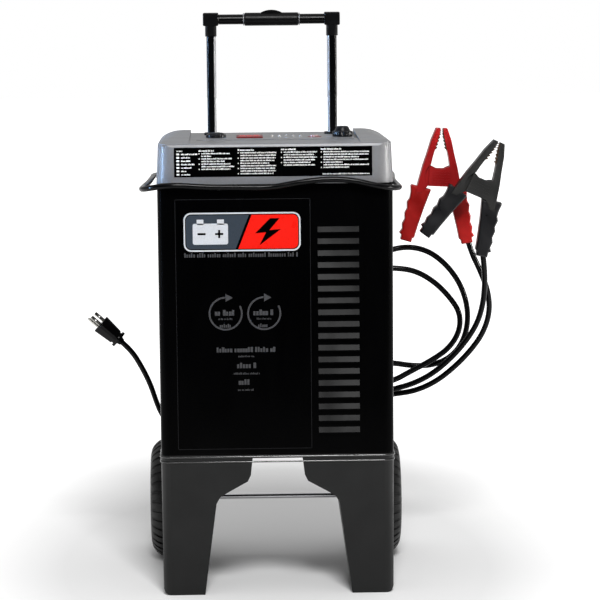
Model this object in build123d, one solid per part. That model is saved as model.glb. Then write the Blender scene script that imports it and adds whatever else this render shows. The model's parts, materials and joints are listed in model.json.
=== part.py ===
from build123d import *
import os
from math import atan2, cos, degrees, hypot, pi, radians, sin, tan

# Wheeled car battery charger. Millimetres, +Z up, the front faces -Y.
# The origin is on the floor, under the middle of the charger without its cords.
# Depths are counted from the plane of the front panel, towards the back.
os.makedirs("parts", exist_ok=True)

# ---------------------------------------------------------------- driving dimensions
FRONT_Y = -178.8            # y of the front panel's plane
BODY_W = 348.0              # width of the sheet metal body
BODY_D = 268.0              # depth of the sheet metal body
BODY_Z0 = 213.0             # bottom of the body, on the moulded base
BODY_Z1 = 618.0             # top of the body, under the lid
SHEET = 1.5                 # sheet thickness
CORNER_R = 14.0             # upright front corners of the body
BACK_FOLD_R = 3.0           # upright folds behind
GAP = 0.3                   # clearance between pieces that move past each other
RUN_FIT = 0.05              # radial clearance of a shaft that turns

LID_W = 350.0
LID_D0 = -3.0               # depth of the lid's front face at its bottom edge
LID_D1 = 271.0
LID_FRONT_Z = 677.0         # top of the lid at the front
LID_BACK_Z = 681.5          # top of the lid's shoulders at the back
DECK_Z = 676.0              # sunk deck between the shoulders
DECK_HALF_W = 127.0
DECK_THICK = 4.0
LID_WALL = 4.5

WHEEL_R = 93.0
WHEEL_DEPTH = 268.0         # depth of the axle, under the back of the body
WHEEL_X = 175.5             # middle of the tyre's width
TYRE_W = 45.0
RIM_R = 62.0
AXLE_R = 4.0
AXLE_Z = WHEEL_R

BASE_WALL = 4.0
BASE_TOP_PLATE = 5.0
CHEEK_X0 = 128.0            # inner face of a wheel cheek
CHEEK_X1 = 146.0

HANDLE_DEPTH = 222.0
HANDLE_X = 93.3             # middle of each handle tube
TUBE_W = 14.4
TUBE_D = 20.0
TUBE_WALL = 1.4
HANDLE_BAR_Z = 853.7
HANDLE_TRAVEL = 145.0

LOUVRE_COUNT = 18
LOUVRE_PITCH = 17.65
LOUVRE_TOP_Z = 547.7
LOUVRE_X = 92.4
LOUVRE_W = 61.0

KNOB_DEPTH = 142.0
LEFT_KNOB_X = -87.0
RIGHT_KNOB_X = 105.5

CABLE_D = 9.0               # each clamp cable
MAINS_D = 8.6               # mains cord


# ---------------------------------------------------------------- helpers
def at(x, depth, z):
    """A point from its depth behind the front panel's plane."""
    return Vector(x, FRONT_Y + depth, z)


def block(x0, x1, d0, d1, z0, z1):
    """Box between two widths, two depths and two heights."""
    middle = at((x0 + x1) / 2, (d0 + d1) / 2, (z0 + z1) / 2)
    return Pos(middle) * Box(abs(x1 - x0), abs(d1 - d0), abs(z1 - z0))


def rod(radius, start, end):
    """Round bar between two points."""
    axis = end - start
    plane = Plane(origin=start, z_dir=axis)
    return extrude(plane * Circle(radius), amount=axis.length)


def upright(sketch, z0, z1, x=0.0, depth=0.0):
    """Plan sketch extruded between two heights."""
    return extrude(Pos(at(x, depth, z0)) * sketch, amount=z1 - z0)


def front_plane(depth):
    """Plane facing the back, whose local x is X and local y is Z."""
    return Plane(origin=at(0, depth, 0), x_dir=(1, 0, 0), z_dir=(0, -1, 0))


def front_view(points, depth0, depth1):
    """Prism of an X-Z outline between two depths."""
    face = front_plane(depth0) * make_face(Polyline(*points, close=True))
    return extrude(face, amount=-(depth1 - depth0))


def side_plane(x):
    """Plane whose local x is the depth and local y is Z."""
    return Plane(origin=at(x, 0, 0), x_dir=(0, 1, 0), z_dir=(1, 0, 0))


def spun(profile, x):
    """Body of revolution about the wheel axle, from (sideways, radius) points."""
    axle = Axis((x, FRONT_Y + WHEEL_DEPTH, AXLE_Z), (1, 0, 0))
    points = [at(x + side, WHEEL_DEPTH, AXLE_Z + r) for side, r in profile]
    return revolve(make_face(Polyline(*points, close=True)), axle)


def mirrored(shape):
    """The same piece on the other side of the charger."""
    return mirror(shape, about=Plane.YZ)


def group(*shapes):
    """Several separate solids that share one node."""
    solids = [solid for shape in shapes for solid in shape.solids()]
    return Compound(children=solids)


def save(node, shape):
    export_step(shape, "parts/" + node + ".step")


# ---------------------------------------------------------------- moulded base and wheels
LEG_EDGE = [(37.2, 209), (40.3, 182), (45, 172.4), (74, 156.4), (86.4, 149), (92, 139)]
LEG_FOOT_IN = (110.6, 0)
LEG_FOOT_OUT = (172.8, 0)
ARCH_R = 106.0
LEG_DEPTH = 88.0            # depth of a leg at the floor


def base_front_outline(inset):
    """Front view of both legs under the top band, drawn in by the wall."""
    half = [(x + inset, z - inset) for x, z in LEG_EDGE]
    half += [(LEG_FOOT_IN[0] + inset, inset), (LEG_FOOT_OUT[0] - 9, inset)]
    half += [(LEG_FOOT_OUT[0] - 2.6 - inset * 0.4, 2.6 + inset * 0.4)]
    half += [(LEG_FOOT_OUT[0] - inset, 9), (BODY_W / 2 - inset, 205)]
    return half


def base_side_face():
    """Side view: a leg that leans back into the wheel arch and the band above it."""
    reach = ARCH_R * cos(radians(45))
    edge = [(0, 0), (LEG_DEPTH, 0), (WHEEL_DEPTH - ARCH_R, AXLE_Z)]
    arch = ThreePointArc((WHEEL_DEPTH - ARCH_R, AXLE_Z),
                         (WHEEL_DEPTH - reach, AXLE_Z + reach),
                         (WHEEL_DEPTH, AXLE_Z + ARCH_R))
    top = [(WHEEL_DEPTH, AXLE_Z + ARCH_R), (BODY_D + 2, AXLE_Z + ARCH_R),
           (BODY_D + 2, BODY_Z0), (0, BODY_Z0), (0, 0)]
    return make_face(Polyline(*edge) + arch + Polyline(*top))


def corner_prism(half_width, front_depth, radius):
    """Upright block with rounded front corners, which bounds the base all round."""
    length = 600.0
    plan = RectangleRounded(2 * half_width, length, radius)
    return upright(plan, -1, BODY_Z0 + 1, depth=front_depth + length / 2)


def base_leg(inset, depth0, top):
    """One leg as a solid, right side."""
    outline = base_front_outline(inset)
    inner_top = outline[0]
    leg = front_view(outline + [(outline[-1][0], top), (inner_top[0], top)], depth0, BODY_D + 2)
    return leg & corner_prism(BODY_W / 2 - inset, depth0, CORNER_R - inset)


def wheel_cheek():
    """Bracket that hangs from the base and carries the axle, right side."""
    outline = [(186, BODY_Z0 - BASE_TOP_PLATE), (BODY_D, BODY_Z0 - BASE_TOP_PLATE),
               (WHEEL_DEPTH + 18, AXLE_Z), (WHEEL_DEPTH - 18, AXLE_Z)]
    face = side_plane(CHEEK_X0) * make_face(Polyline(*outline, close=True))
    boss = rod(18, at(CHEEK_X0, WHEEL_DEPTH, AXLE_Z), at(CHEEK_X1, WHEEL_DEPTH, AXLE_Z))
    return extrude(face, amount=CHEEK_X1 - CHEEK_X0) + boss


def make_base():
    side = extrude(side_plane(-200) * base_side_face(), amount=400)
    leg = base_leg(0, 0, BODY_Z0 - 1) & side
    cavity = base_leg(BASE_WALL, BASE_WALL, BODY_Z0 - BASE_TOP_PLATE)
    rib_depth = ARCH_R + 4
    leg -= cavity
    for rib_z in (60, 118, 168):
        rib = block(37, 174, BASE_WALL, rib_depth, rib_z, rib_z + 3)
        leg += rib & (base_leg(1, 1, BODY_Z0 - 1) & side)
    leg += wheel_cheek()
    plate = block(-BODY_W / 2, BODY_W / 2, 0, BODY_D + 2, BODY_Z0 - 4, BODY_Z0)
    base = (plate & corner_prism(BODY_W / 2, 0, CORNER_R)) + leg + mirrored(leg)
    bead = block(-BODY_W / 2 - 1.2, BODY_W / 2 + 1.2, -1.2, BODY_D + 2, BODY_Z0 - 5, BODY_Z0 - 1)
    bead &= corner_prism(BODY_W / 2 + 1.2, -1.2, CORNER_R + 1.2)
    base += bead - block(-BODY_W / 2 + 6, BODY_W / 2 - 6, 6, BODY_D, BODY_Z0 - 9, BODY_Z0)
    axle_hole = rod(AXLE_R, at(-160, WHEEL_DEPTH, AXLE_Z), at(160, WHEEL_DEPTH, AXLE_Z))
    return base - axle_hole


def tyre_profile():
    half = TYRE_W / 2
    outer = [(half, RIM_R), (half, 71), (half - 2.2, 79), (half - 7, 86), (half - 13, 91),
             (5.5, 92.6), (2.2, WHEEL_R), (1.6, 90.4)]
    inner = [(-side, r) for side, r in reversed(outer)]
    return outer + inner


def hub_profile():
    """Rim, dished web and bearing tube of a wheel, with +sideways pointing out."""
    half = TYRE_W / 2
    return [(-half, RIM_R - 6), (-half, RIM_R), (half, RIM_R), (half, RIM_R - 5),
            (half - 7, RIM_R - 9), (half - 9, 24), (half - 1, 19), (half, 15),
            (half, AXLE_R + RUN_FIT), (-half, AXLE_R + RUN_FIT), (-half, 13),
            (half - 14, 17), (half - 14, RIM_R - 10)]


def make_hub():
    """Wheel hub, right side, with six windows between its spokes."""
    hub = spun(hub_profile(), WHEEL_X)
    centre = at(WHEEL_X, WHEEL_DEPTH, AXLE_Z)
    for turn in range(0, 360, 60):
        plane = Plane(origin=centre, x_dir=(0, 1, 0), z_dir=(1, 0, 0)).rotated((turn, 0, 0))
        window = Trapezoid(23, 17, 104, rotation=-90)
        hub -= extrude(plane * (Pos(37.5, 0) * window), amount=TYRE_W, both=True)
    return hub


def make_axle():
    reach = WHEEL_X + TYRE_W / 2 - 1
    return rod(AXLE_R, at(-reach, WHEEL_DEPTH, AXLE_Z), at(reach, WHEEL_DEPTH, AXLE_Z))


def make_axle_cap():
    """Push-on cap nut over the axle's end, right side."""
    face = WHEEL_X + TYRE_W / 2 + GAP
    end = WHEEL_X + TYRE_W / 2 - 1
    cap = rod(9, at(face, WHEEL_DEPTH, AXLE_Z), at(face + 1.8, WHEEL_DEPTH, AXLE_Z))
    return cap + rod(AXLE_R, at(end, WHEEL_DEPTH, AXLE_Z), at(face + 0.5, WHEEL_DEPTH, AXLE_Z))


def make_spacer():
    """Bush between a cheek and its hub, right side."""
    inner = at(CHEEK_X1, WHEEL_DEPTH, AXLE_Z)
    outer = at(WHEEL_X - TYRE_W / 2 - GAP, WHEEL_DEPTH, AXLE_Z)
    return rod(9, inner, outer) - rod(AXLE_R, inner, outer)


# ---------------------------------------------------------------- sheet metal body
FAN_Z = 350.0
FAN_SIZE = 92.0
FAN_BLADES = 7
GLAND_X = 96.0
RED_EXIT_Z = 303.0
BLACK_EXIT_Z = 262.0
MAINS_GLAND = (-140.0, 292.0)
REAR_SCREWS = [(x, z) for x in (-162.0, 162.0) for z in (235.0, 415.0, 595.0)]
SCREW_R = 1.9


def louvre_face(inset):
    """Side view of one louvre: closed above, open below."""
    hood = [(0.2 + inset, 6.5 - inset), (-3.9 + inset, -1.5), (-3.9 + inset, -4.0)]
    back = [(SHEET + 1, -4.0), (SHEET + 1, 6.5 - inset)]
    return make_face(Polyline(*(hood + back), close=True))


def shell_plan(inset):
    """Plan of the body drawn in by an inset: round corners in front, folded ones behind."""
    width = BODY_W - 2 * inset
    depth = BODY_D - 2 * inset
    plan = RectangleRounded(width, depth, CORNER_R - inset)
    return plan + Pos(0, depth / 4) * RectangleRounded(width, depth / 2, BACK_FOLD_R - inset)


def make_front_shell():
    """Front and sides in one folded sheet, with flanges at the back."""
    wall = shell_plan(0) - shell_plan(SHEET)
    shell = upright(wall, BODY_Z0, BODY_Z1, depth=BODY_D / 2)
    shell -= block(-154, 154, BODY_D - 10, BODY_D + 10, BODY_Z0, BODY_Z1)
    for bead_x in (53.5, 131.8):
        shell += block(bead_x - 0.6, bead_x + 0.6, -0.6, 0.5, 232, 563)
    start = LOUVRE_X - LOUVRE_W / 2
    for step in range(LOUVRE_COUNT):
        z = LOUVRE_TOP_Z - step * LOUVRE_PITCH
        place = Pos(0, 0, z)
        hood = extrude(side_plane(start) * louvre_face(0), amount=LOUVRE_W)
        room = extrude(side_plane(start + 1.2) * louvre_face(1.1), amount=LOUVRE_W - 2.4)
        cheek_cut = block(start, start + LOUVRE_W, SHEET, SHEET + 3, -6, 8)
        shell += place * (hood - cheek_cut)
        shell -= place * room
    for x, z in REAR_SCREWS:
        shell -= rod(SCREW_R, at(x, BODY_D - 5, z), at(x, BODY_D + 5, z))
    return shell


def vent_slots(x0, x1, z0, count, pitch):
    """Row of slots through the back panel."""
    middle = (x0 + x1) / 2
    cuts = []
    for step in range(count):
        slot = front_plane(BODY_D + 5) * (Pos(middle, z0 + step * pitch) * SlotOverall(x1 - x0, 4))
        cuts.append(extrude(slot, amount=12))
    return cuts


def make_rear_panel():
    inside = BODY_D - SHEET
    panel = block(-166, 166, inside - SHEET, inside, BODY_Z0 + 3, BODY_Z1 - 3)
    panel -= rod(FAN_SIZE / 2 - 3, at(0, inside - 5, FAN_Z), at(0, inside + 5, FAN_Z))
    for z in (RED_EXIT_Z, BLACK_EXIT_Z):
        panel -= rod(6, at(GLAND_X, inside - 5, z), at(GLAND_X, inside + 5, z))
    panel -= rod(6, at(MAINS_GLAND[0], inside - 5, MAINS_GLAND[1]),
                 at(MAINS_GLAND[0], inside + 5, MAINS_GLAND[1]))
    for x, z in REAR_SCREWS:
        panel -= rod(SCREW_R, at(x, inside - 5, z), at(x, inside + 5, z))
    for cut in vent_slots(-60, 60, 520, 6, 11):
        panel -= cut
    return panel


def make_base_pan():
    """Steel floor with upturned edges, which carries the transformer."""
    width = BODY_W - 2 * SHEET - 1
    depth = BODY_D - 3 * SHEET - 1
    middle = SHEET + 0.5 + depth / 2
    tray = upright(RectangleRounded(width, depth, CORNER_R), BODY_Z0, BODY_Z0 + 18, depth=middle)
    room = RectangleRounded(width - 2 * SHEET, depth - 2 * SHEET, CORNER_R - SHEET)
    return tray - upright(room, BODY_Z0 + SHEET, BODY_Z0 + 30, depth=middle)


def make_screws():
    """Pan-head screws of the back panel."""
    screws = []
    for x, z in REAR_SCREWS:
        shank = rod(SCREW_R, at(x, BODY_D - 9, z), at(x, BODY_D, z))
        head = rod(4, at(x, BODY_D, z), at(x, BODY_D + 2.2, z))
        slot = block(x - 3.2, x + 3.2, BODY_D + 1.2, BODY_D + 3, z - 0.5, z + 0.5)
        slot += block(x - 0.5, x + 0.5, BODY_D + 1.2, BODY_D + 3, z - 3.2, z + 3.2)
        screws.append(shank + head - slot)
    return group(*screws)


def make_front_label():
    return front_view([(-148, 222), (51.5, 222), (51.5, 596), (-148, 596)], -0.35, 0)


# ---------------------------------------------------------------- lid and control deck
ELLIPSE_PULL = 0.5523       # pull of a curve's handles that gives a quarter ellipse


def lid_section(depth, top_z, shoulder_w, shoulder_h):
    """Cross-section of the lid at one depth, with elliptical shoulders."""
    half = LID_W / 2 + 2
    inner = half - shoulder_w
    low = top_z - shoulder_h
    round_w = (1 - ELLIPSE_PULL) * shoulder_w
    round_z = top_z - (1 - ELLIPSE_PULL) * shoulder_h
    left = Bezier((-inner, top_z), (-half + round_w, top_z), (-half, round_z), (-half, low))
    right = Bezier((half, low), (half, round_z), (half - round_w, top_z), (inner, top_z))
    skirt = Polyline((-half, low), (-half, BODY_Z1 - 1), (half, BODY_Z1 - 1), (half, low))
    return front_plane(depth) * make_face(left + skirt + right + Line((inner, top_z), (-inner, top_z)))


def lid_outside():
    middle = (LID_D0 + LID_D1) / 2
    plan = Pos(at(0, middle, BODY_Z1)) * RectangleRounded(LID_W, LID_D1 - LID_D0, 24)
    drafted = extrude(plan, amount=LID_BACK_Z - BODY_Z1 + 1, taper=2.9)
    crown = loft([lid_section(LID_D0 - 1, LID_FRONT_Z, 8.0, 4.0),
                  lid_section(LID_D1 + 1, LID_BACK_Z, 42.0, 20.0)])
    side = make_face(Polyline(
        (LID_D0 - 1, BODY_Z1 - 1), (LID_D1 + 1, BODY_Z1 - 1), (LID_D1 + 1, LID_BACK_Z - 7),
        (LID_D1 - 4, LID_BACK_Z - 1.5), (LID_D1 - 10, LID_BACK_Z), (3.5, LID_FRONT_Z + 0.5),
        (1.2, LID_FRONT_Z - 1.2), (-0.6, LID_FRONT_Z - 5), (LID_D0 - 1, LID_FRONT_Z - 14),
        close=True))
    return drafted & crown & extrude(side_plane(-200) * side, amount=400)


BEZEL_HOLE = (TUBE_W + 2 * GAP, TUBE_D + 2 * GAP)
GUIDE_OUT = (BEZEL_HOLE[0] + 3, BEZEL_HOLE[1] + 3)
SHAFT_R = 3.0
BUTTON_X = 63.0
BUTTON_R = 7.0


def make_lid():
    lid = lid_outside()
    middle = (LID_D0 + LID_D1) / 2
    inner_w = LID_W - 2 * LID_WALL - 6
    inner_d = LID_D1 - LID_D0 - 2 * LID_WALL - 6
    lid -= upright(RectangleRounded(inner_w, inner_d, 19), BODY_Z1 - 1, 655, depth=middle)
    lid -= block(-DECK_HALF_W + 4, DECK_HALF_W - 4, 14, 255, 650, DECK_Z - DECK_THICK)
    lid -= block(-DECK_HALF_W, DECK_HALF_W, 16, LID_D1 + 2, DECK_Z, DECK_Z + 20)
    for side in (-1, 1):
        hole = RectangleRounded(*GUIDE_OUT, 6)
        lid -= upright(hole, 660, DECK_Z + 1, x=side * HANDLE_X, depth=HANDLE_DEPTH)
    for x in (LEFT_KNOB_X, RIGHT_KNOB_X):
        lid -= rod(SHAFT_R + RUN_FIT, at(x, KNOB_DEPTH, 660), at(x, KNOB_DEPTH, 690))
    lid -= rod(BUTTON_R + GAP, at(BUTTON_X, KNOB_DEPTH, 660), at(BUTTON_X, KNOB_DEPTH, 690))
    for x in (-104, 104):
        for depth in (45, 195):
            lid += rod(4, at(x, depth, 657), at(x, depth, DECK_Z - DECK_THICK))
    return lid


def label_on_lid():
    """Instruction plate on the drafted front face, as an even skin over it."""
    outline = [(-148, 629), (143, 629), (143, 672), (-148, 672)]
    skin = Pos(0, -0.4, 0) * lid_outside()
    return (front_view(outline, -6, 4) & skin) - lid_outside()


PANEL = (-116.0, 122.0, 92.0, 196.0)


def make_control_panel():
    """Overlay plate on the deck, with holes for the knobs and the button."""
    x0, x1, d0, d1 = PANEL
    plate = block(x0, x1, d0, d1, DECK_Z, DECK_Z + 1)
    for x in (LEFT_KNOB_X, RIGHT_KNOB_X):
        plate -= rod(SHAFT_R + 1, at(x, KNOB_DEPTH, 660), at(x, KNOB_DEPTH, 690))
    return plate - rod(BUTTON_R + GAP, at(BUTTON_X, KNOB_DEPTH, 660), at(BUTTON_X, KNOB_DEPTH, 690))


def make_display():
    frame = block(-56, -16, 122, 168, DECK_Z + 1, DECK_Z + 3)
    top_edges = frame.edges().filter_by(Axis.Z, reverse=True).group_by(Axis.Z)[-1]
    return chamfer(top_edges, 0.8)


def make_leds():
    lamps = []
    for step in range(5):
        x = -2.0 + step * 11
        lamp = rod(2, at(x, 150, DECK_Z + 1), at(x, 150, DECK_Z + 1.8))
        dome = Pos(at(x, 150, DECK_Z + 1.8)) * Sphere(2) & block(x - 3, x + 3, 147, 153,
                                                                 DECK_Z + 1.8, DECK_Z + 5)
        lamps.append(lamp + dome)
    return group(*lamps)


def make_knob(x, skirt_r, height, cap_foot_r, cap_top_r, cap_height):
    """Knob on its switch shaft, with a tapered grip cap and a pointer rib."""
    foot = DECK_Z + 1 + GAP
    knob = rod(skirt_r, at(x, KNOB_DEPTH, foot), at(x, KNOB_DEPTH, foot + height))
    knob = chamfer(knob.edges().group_by(Axis.Z)[-1], 1.2)
    for turn in range(0, 360, 30):
        dx = (skirt_r + 1.2) * cos(radians(turn))
        dy = (skirt_r + 1.2) * sin(radians(turn))
        knob -= rod(2.2, at(x + dx, KNOB_DEPTH + dy, foot + 1.5),
                    at(x + dx, KNOB_DEPTH + dy, foot + height + 1))
    middle = foot + height + cap_height / 2
    cap = Pos(at(x, KNOB_DEPTH, middle)) * Cone(cap_foot_r, cap_top_r, cap_height)
    cap = chamfer(cap.edges().group_by(Axis.Z)[-1], 0.8)
    rib = block(x - 1, x + 1, KNOB_DEPTH - cap_top_r + 1, KNOB_DEPTH,
                foot + height, foot + height + cap_height + 0.8)
    shaft = rod(SHAFT_R, at(x, KNOB_DEPTH, 661), at(x, KNOB_DEPTH, foot + 1))
    return knob + cap + rib + shaft


def make_start_button():
    button = rod(BUTTON_R, at(BUTTON_X, KNOB_DEPTH, 662), at(BUTTON_X, KNOB_DEPTH, DECK_Z + 3.4))
    return fillet(button.edges().group_by(Axis.Z)[-1], 1.2)


# ---------------------------------------------------------------- telescopic handle
CORNER_X0 = 81.8
CORNER_X1 = 105.6
CORNER_Z0 = 844.0
CORNER_Z1 = 864.0
SOCKET_Z = 828.0
TUBE_TOP = 847.0
TUBE_BOTTOM = 585.0
BAR_R = 7.7
GRIP_R = 10.1
GRIP_HALF = 41.8
BUTTON_HALF = 16.5
BUTTON_PRESS = 3.0


def tube_sketch(grow):
    return RectangleRounded(TUBE_W + 2 * grow, TUBE_D + 2 * grow, 5 + grow)


def make_handle_tube():
    """Inner tube of the telescope, right side."""
    wall = tube_sketch(0) - tube_sketch(-TUBE_WALL)
    return upright(wall, TUBE_BOTTOM, TUBE_TOP, x=HANDLE_X, depth=HANDLE_DEPTH)


def make_corner():
    """Moulded elbow that joins a tube to the crossbar, right side."""
    elbow = block(CORNER_X0, CORNER_X1, HANDLE_DEPTH - 12.5, HANDLE_DEPTH + 12.5,
                  CORNER_Z0, CORNER_Z1)
    elbow = fillet(elbow.edges().filter_by(Axis.Y), 2.0)
    elbow = fillet(elbow.edges().group_by(Axis.Y)[0], 1.5)
    elbow = fillet(elbow.edges().group_by(Axis.Y)[-1], 1.5)
    elbow += upright(RectangleRounded(17.6, 23.2, 6), SOCKET_Z, CORNER_Z0 + 1,
                     x=HANDLE_X + 0.3, depth=HANDLE_DEPTH)
    elbow -= upright(tube_sketch(0), SOCKET_Z - 1, TUBE_TOP, x=HANDLE_X, depth=HANDLE_DEPTH)
    return elbow - rod(BAR_R, at(60, HANDLE_DEPTH, HANDLE_BAR_Z), at(96, HANDLE_DEPTH, HANDLE_BAR_Z))


def bar_slot(half_length, half_width):
    """Room for the release button through the top of the grip and the bar."""
    return block(-half_length, half_length, HANDLE_DEPTH - half_width, HANDLE_DEPTH + half_width,
                 HANDLE_BAR_Z, HANDLE_BAR_Z + 20)


def make_crossbar():
    ends = (at(-96, HANDLE_DEPTH, HANDLE_BAR_Z), at(96, HANDLE_DEPTH, HANDLE_BAR_Z))
    bar = rod(BAR_R, *ends) - rod(BAR_R - 1.6, *ends)
    tube_room = upright(tube_sketch(0.05), TUBE_TOP - 20, TUBE_TOP, x=HANDLE_X, depth=HANDLE_DEPTH)
    bar -= tube_room
    bar -= mirrored(tube_room)
    return bar - bar_slot(BUTTON_HALF + GAP, 4.5 + GAP)


def make_grip():
    ends = (at(-GRIP_HALF, HANDLE_DEPTH, HANDLE_BAR_Z), at(GRIP_HALF, HANDLE_DEPTH, HANDLE_BAR_Z))
    grip = rod(GRIP_R, *ends)
    grip = fillet(grip.edges(), 2.0) - rod(BAR_R, *ends)
    return grip - bar_slot(BUTTON_HALF + GAP, 4.5 + GAP)


def make_release_button():
    """Domed button let into the top of the grip."""
    top = HANDLE_BAR_Z + GRIP_R + 4.2
    low = HANDLE_BAR_Z + 3.2
    dome = front_plane(HANDLE_DEPTH - 4.5) * make_face(
        Polyline((-BUTTON_HALF, top - 4.2), (-BUTTON_HALF, low), (BUTTON_HALF, low),
                 (BUTTON_HALF, top - 4.2))
        + ThreePointArc((BUTTON_HALF, top - 4.2), (0, top), (-BUTTON_HALF, top - 4.2)))
    return extrude(dome, amount=-9)


def make_guide_tube():
    """Outer tube of the telescope inside the body, right side."""
    wall = RectangleRounded(*GUIDE_OUT, 6) - RectangleRounded(*BEZEL_HOLE, 4.8)
    return upright(wall, 425, DECK_Z, x=HANDLE_X, depth=HANDLE_DEPTH)


def make_guide_bezel():
    """Collar around a tube where it leaves the deck, right side."""
    ring = RectangleRounded(25, 30, 8) - RectangleRounded(*BEZEL_HOLE, 4.8)
    return upright(ring, DECK_Z, DECK_Z + 3.2, x=HANDLE_X, depth=HANDLE_DEPTH)


def make_guide_bracket():
    """Strap that ties both guide tubes to the back panel."""
    strap = block(-112, 112, HANDLE_DEPTH + GUIDE_OUT[1] / 2, BODY_D - 2 * SHEET, 440, 442)
    web = block(-112, 112, HANDLE_DEPTH + GUIDE_OUT[1] / 2, HANDLE_DEPTH + GUIDE_OUT[1] / 2 + 2,
                420, 442)
    foot = block(-112, 112, BODY_D - 2 * SHEET - 2, BODY_D - 2 * SHEET, 440, 456)
    return strap + web + foot


# ---------------------------------------------------------------- electrical parts inside
CORE = (-66.0, 66.0, 80.0, 152.0)
CORE_Z0 = BODY_Z0 + SHEET
CORE_Z1 = CORE_Z0 + 112
WINDOW_X0 = 22.0
WINDOW_X1 = 46.0
WINDOW_Z0 = CORE_Z0 + 22
WINDOW_Z1 = CORE_Z0 + 90


def make_core():
    """Laminated transformer core with its two winding windows."""
    x0, x1, d0, d1 = CORE
    core = block(x0, x1, d0, d1, CORE_Z0, CORE_Z1)
    for side in (-1, 1):
        core -= block(side * WINDOW_X0, side * WINDOW_X1, d0 - 1, d1 + 1, WINDOW_Z0, WINDOW_Z1)
    return core


def make_coil():
    """Winding around the core's middle leg."""
    d0, d1 = CORE[2], CORE[3]
    middle = (d0 + d1) / 2
    outer = RectangleRounded(2 * WINDOW_X1 - 1, d1 - d0 + 44, 16)
    inner = Rectangle(2 * WINDOW_X0, d1 - d0)
    return upright(outer - inner, WINDOW_Z0 + 0.5, WINDOW_Z1 - 0.5, depth=middle)


def make_heat_sink():
    """Finned plate on the back panel, between the guide tubes."""
    back = BODY_D - 2 * SHEET
    sink = block(-62, 62, back - 6, back, 465, 505)
    for step in range(13):
        x = -60 + step * 10
        sink += block(x - 1, x + 1, back - 34, back - 5, 465, 505)
    return sink - block(-26, 26, back - 40, back - 6, 477, 493)


def make_diodes():
    """Button rectifiers pressed against the heat sink's plate."""
    face = BODY_D - 2 * SHEET - 6
    cans = []
    for x in (-18.0, 0.0, 18.0):
        can = rod(6.3, at(x, face - 8, 485), at(x, face, 485))
        cans.append(can + rod(1.2, at(x, face - 20, 485), at(x, face - 7, 485)))
    return group(*cans)


def make_control_board():
    board = block(-112, 112, 38, 202, 655.4, 657)
    for x in (LEFT_KNOB_X, RIGHT_KNOB_X):
        board -= rod(SHAFT_R + 1, at(x, KNOB_DEPTH, 650), at(x, KNOB_DEPTH, 660))
    return board


def make_board_parts():
    """Relays, capacitors and a small transformer under the board."""
    pieces = []
    for x in (-60.0, -28.0, 4.0):
        pieces.append(block(x, x + 20, 60, 88, 637, 655.4))
    for x in (48.0, 66.0, 84.0):
        pieces.append(rod(6.5, at(x, 75, 633), at(x, 75, 655.4)))
    pieces.append(block(-40, -6, 118, 152, 627, 655.4))
    return group(*pieces)


def make_fan_frame():
    back = BODY_D - 2 * SHEET
    half = FAN_SIZE / 2
    bore = half - 2.5
    frame = block(-half, half, back - 25, back, FAN_Z - half, FAN_Z + half)
    frame -= rod(bore, at(0, back - 30, FAN_Z), at(0, back + 5, FAN_Z))
    frame += rod(16, at(0, back - 24.5, FAN_Z), at(0, back - 21, FAN_Z))
    for turn in (45, 135, 225, 315):
        arm = Pos(29, 0, 0) * Box(36, 4, 2.5)
        plane = Plane(origin=at(0, back - 23, FAN_Z), x_dir=(1, 0, 0), z_dir=(0, -1, 0))
        frame += plane * (Rot(0, 0, turn) * arm)
    return frame + rod(2, at(0, back - 22, FAN_Z), at(0, back - 10, FAN_Z))


def make_fan_rotor():
    back = BODY_D - 2 * SHEET
    rotor = rod(17, at(0, back - 20, FAN_Z), at(0, back - 3, FAN_Z))
    rotor -= rod(2 + RUN_FIT, at(0, back - 21, FAN_Z), at(0, back - 9, FAN_Z))
    blade_plane = Plane(origin=at(0, back - 11.5, FAN_Z), x_dir=(1, 0, 0), z_dir=(0, -1, 0))
    for step in range(FAN_BLADES):
        leaf = Pos(28, 0) * Rot(35, 0, 0) * Box(26, 20, 1.6)
        rotor += blade_plane * (Rot(0, 0, step * 360 / FAN_BLADES) * leaf)
    return rotor & rod(FAN_SIZE / 2 - 4, at(0, back - 20.5, FAN_Z), at(0, back - 2.5, FAN_Z))


def make_fan_guard():
    """Wire rings and spokes outside the back panel."""
    face = BODY_D - SHEET
    guard = None
    for ring_r in (12, 22, 32, 42):
        ring = Torus(ring_r, 1.2)
        placed = Plane(origin=at(0, face + 1.3, FAN_Z), z_dir=(0, 1, 0)) * ring
        guard = placed if guard is None else guard + placed
    for turn in (0, 60, 120):
        dx = 43.5 * cos(radians(turn))
        dz = 43.5 * sin(radians(turn))
        guard += rod(1.2, at(-dx, face + 2.2, FAN_Z - dz), at(dx, face + 2.2, FAN_Z + dz))
    return guard


# ---------------------------------------------------------------- cords, glands and plug
EXIT_DEPTH = 284.0
RED_ROUTE = [
    (124, 284, 303), (155, 286, 303.5), (190, 294, 302.5), (222, 296, 296.5), (254, 296, 297),
    (283, 296, 309), (303, 296, 333), (311.5, 296, 364), (310, 296, 397), (298, 296, 431),
    (276, 296, 461), (247, 296, 483), (213, 296, 490), (178, 296, 482), (142, 296, 467),
    (105, 296, 455), (66, 296, 449), (24, 296, 447.5), (-18, 296, 450), (-53, 296, 433),
    (-71, 296, 398), (-77, 296, 357), (-71, 296, 313), (-50, 296, 275), (-14, 296, 251),
    (29, 296, 239), (72, 296, 235), (114, 296, 239), (152, 297, 246), (190, 296, 251),
    (224, 291, 256), (257, 285, 271), (287, 280, 295), (314, 274, 324), (334, 268, 354),
    (343.5, 263, 388), (340, 259, 422), (326, 254, 457), (313.5, 250.5, 482), (306.7, 250, 504)]
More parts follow.
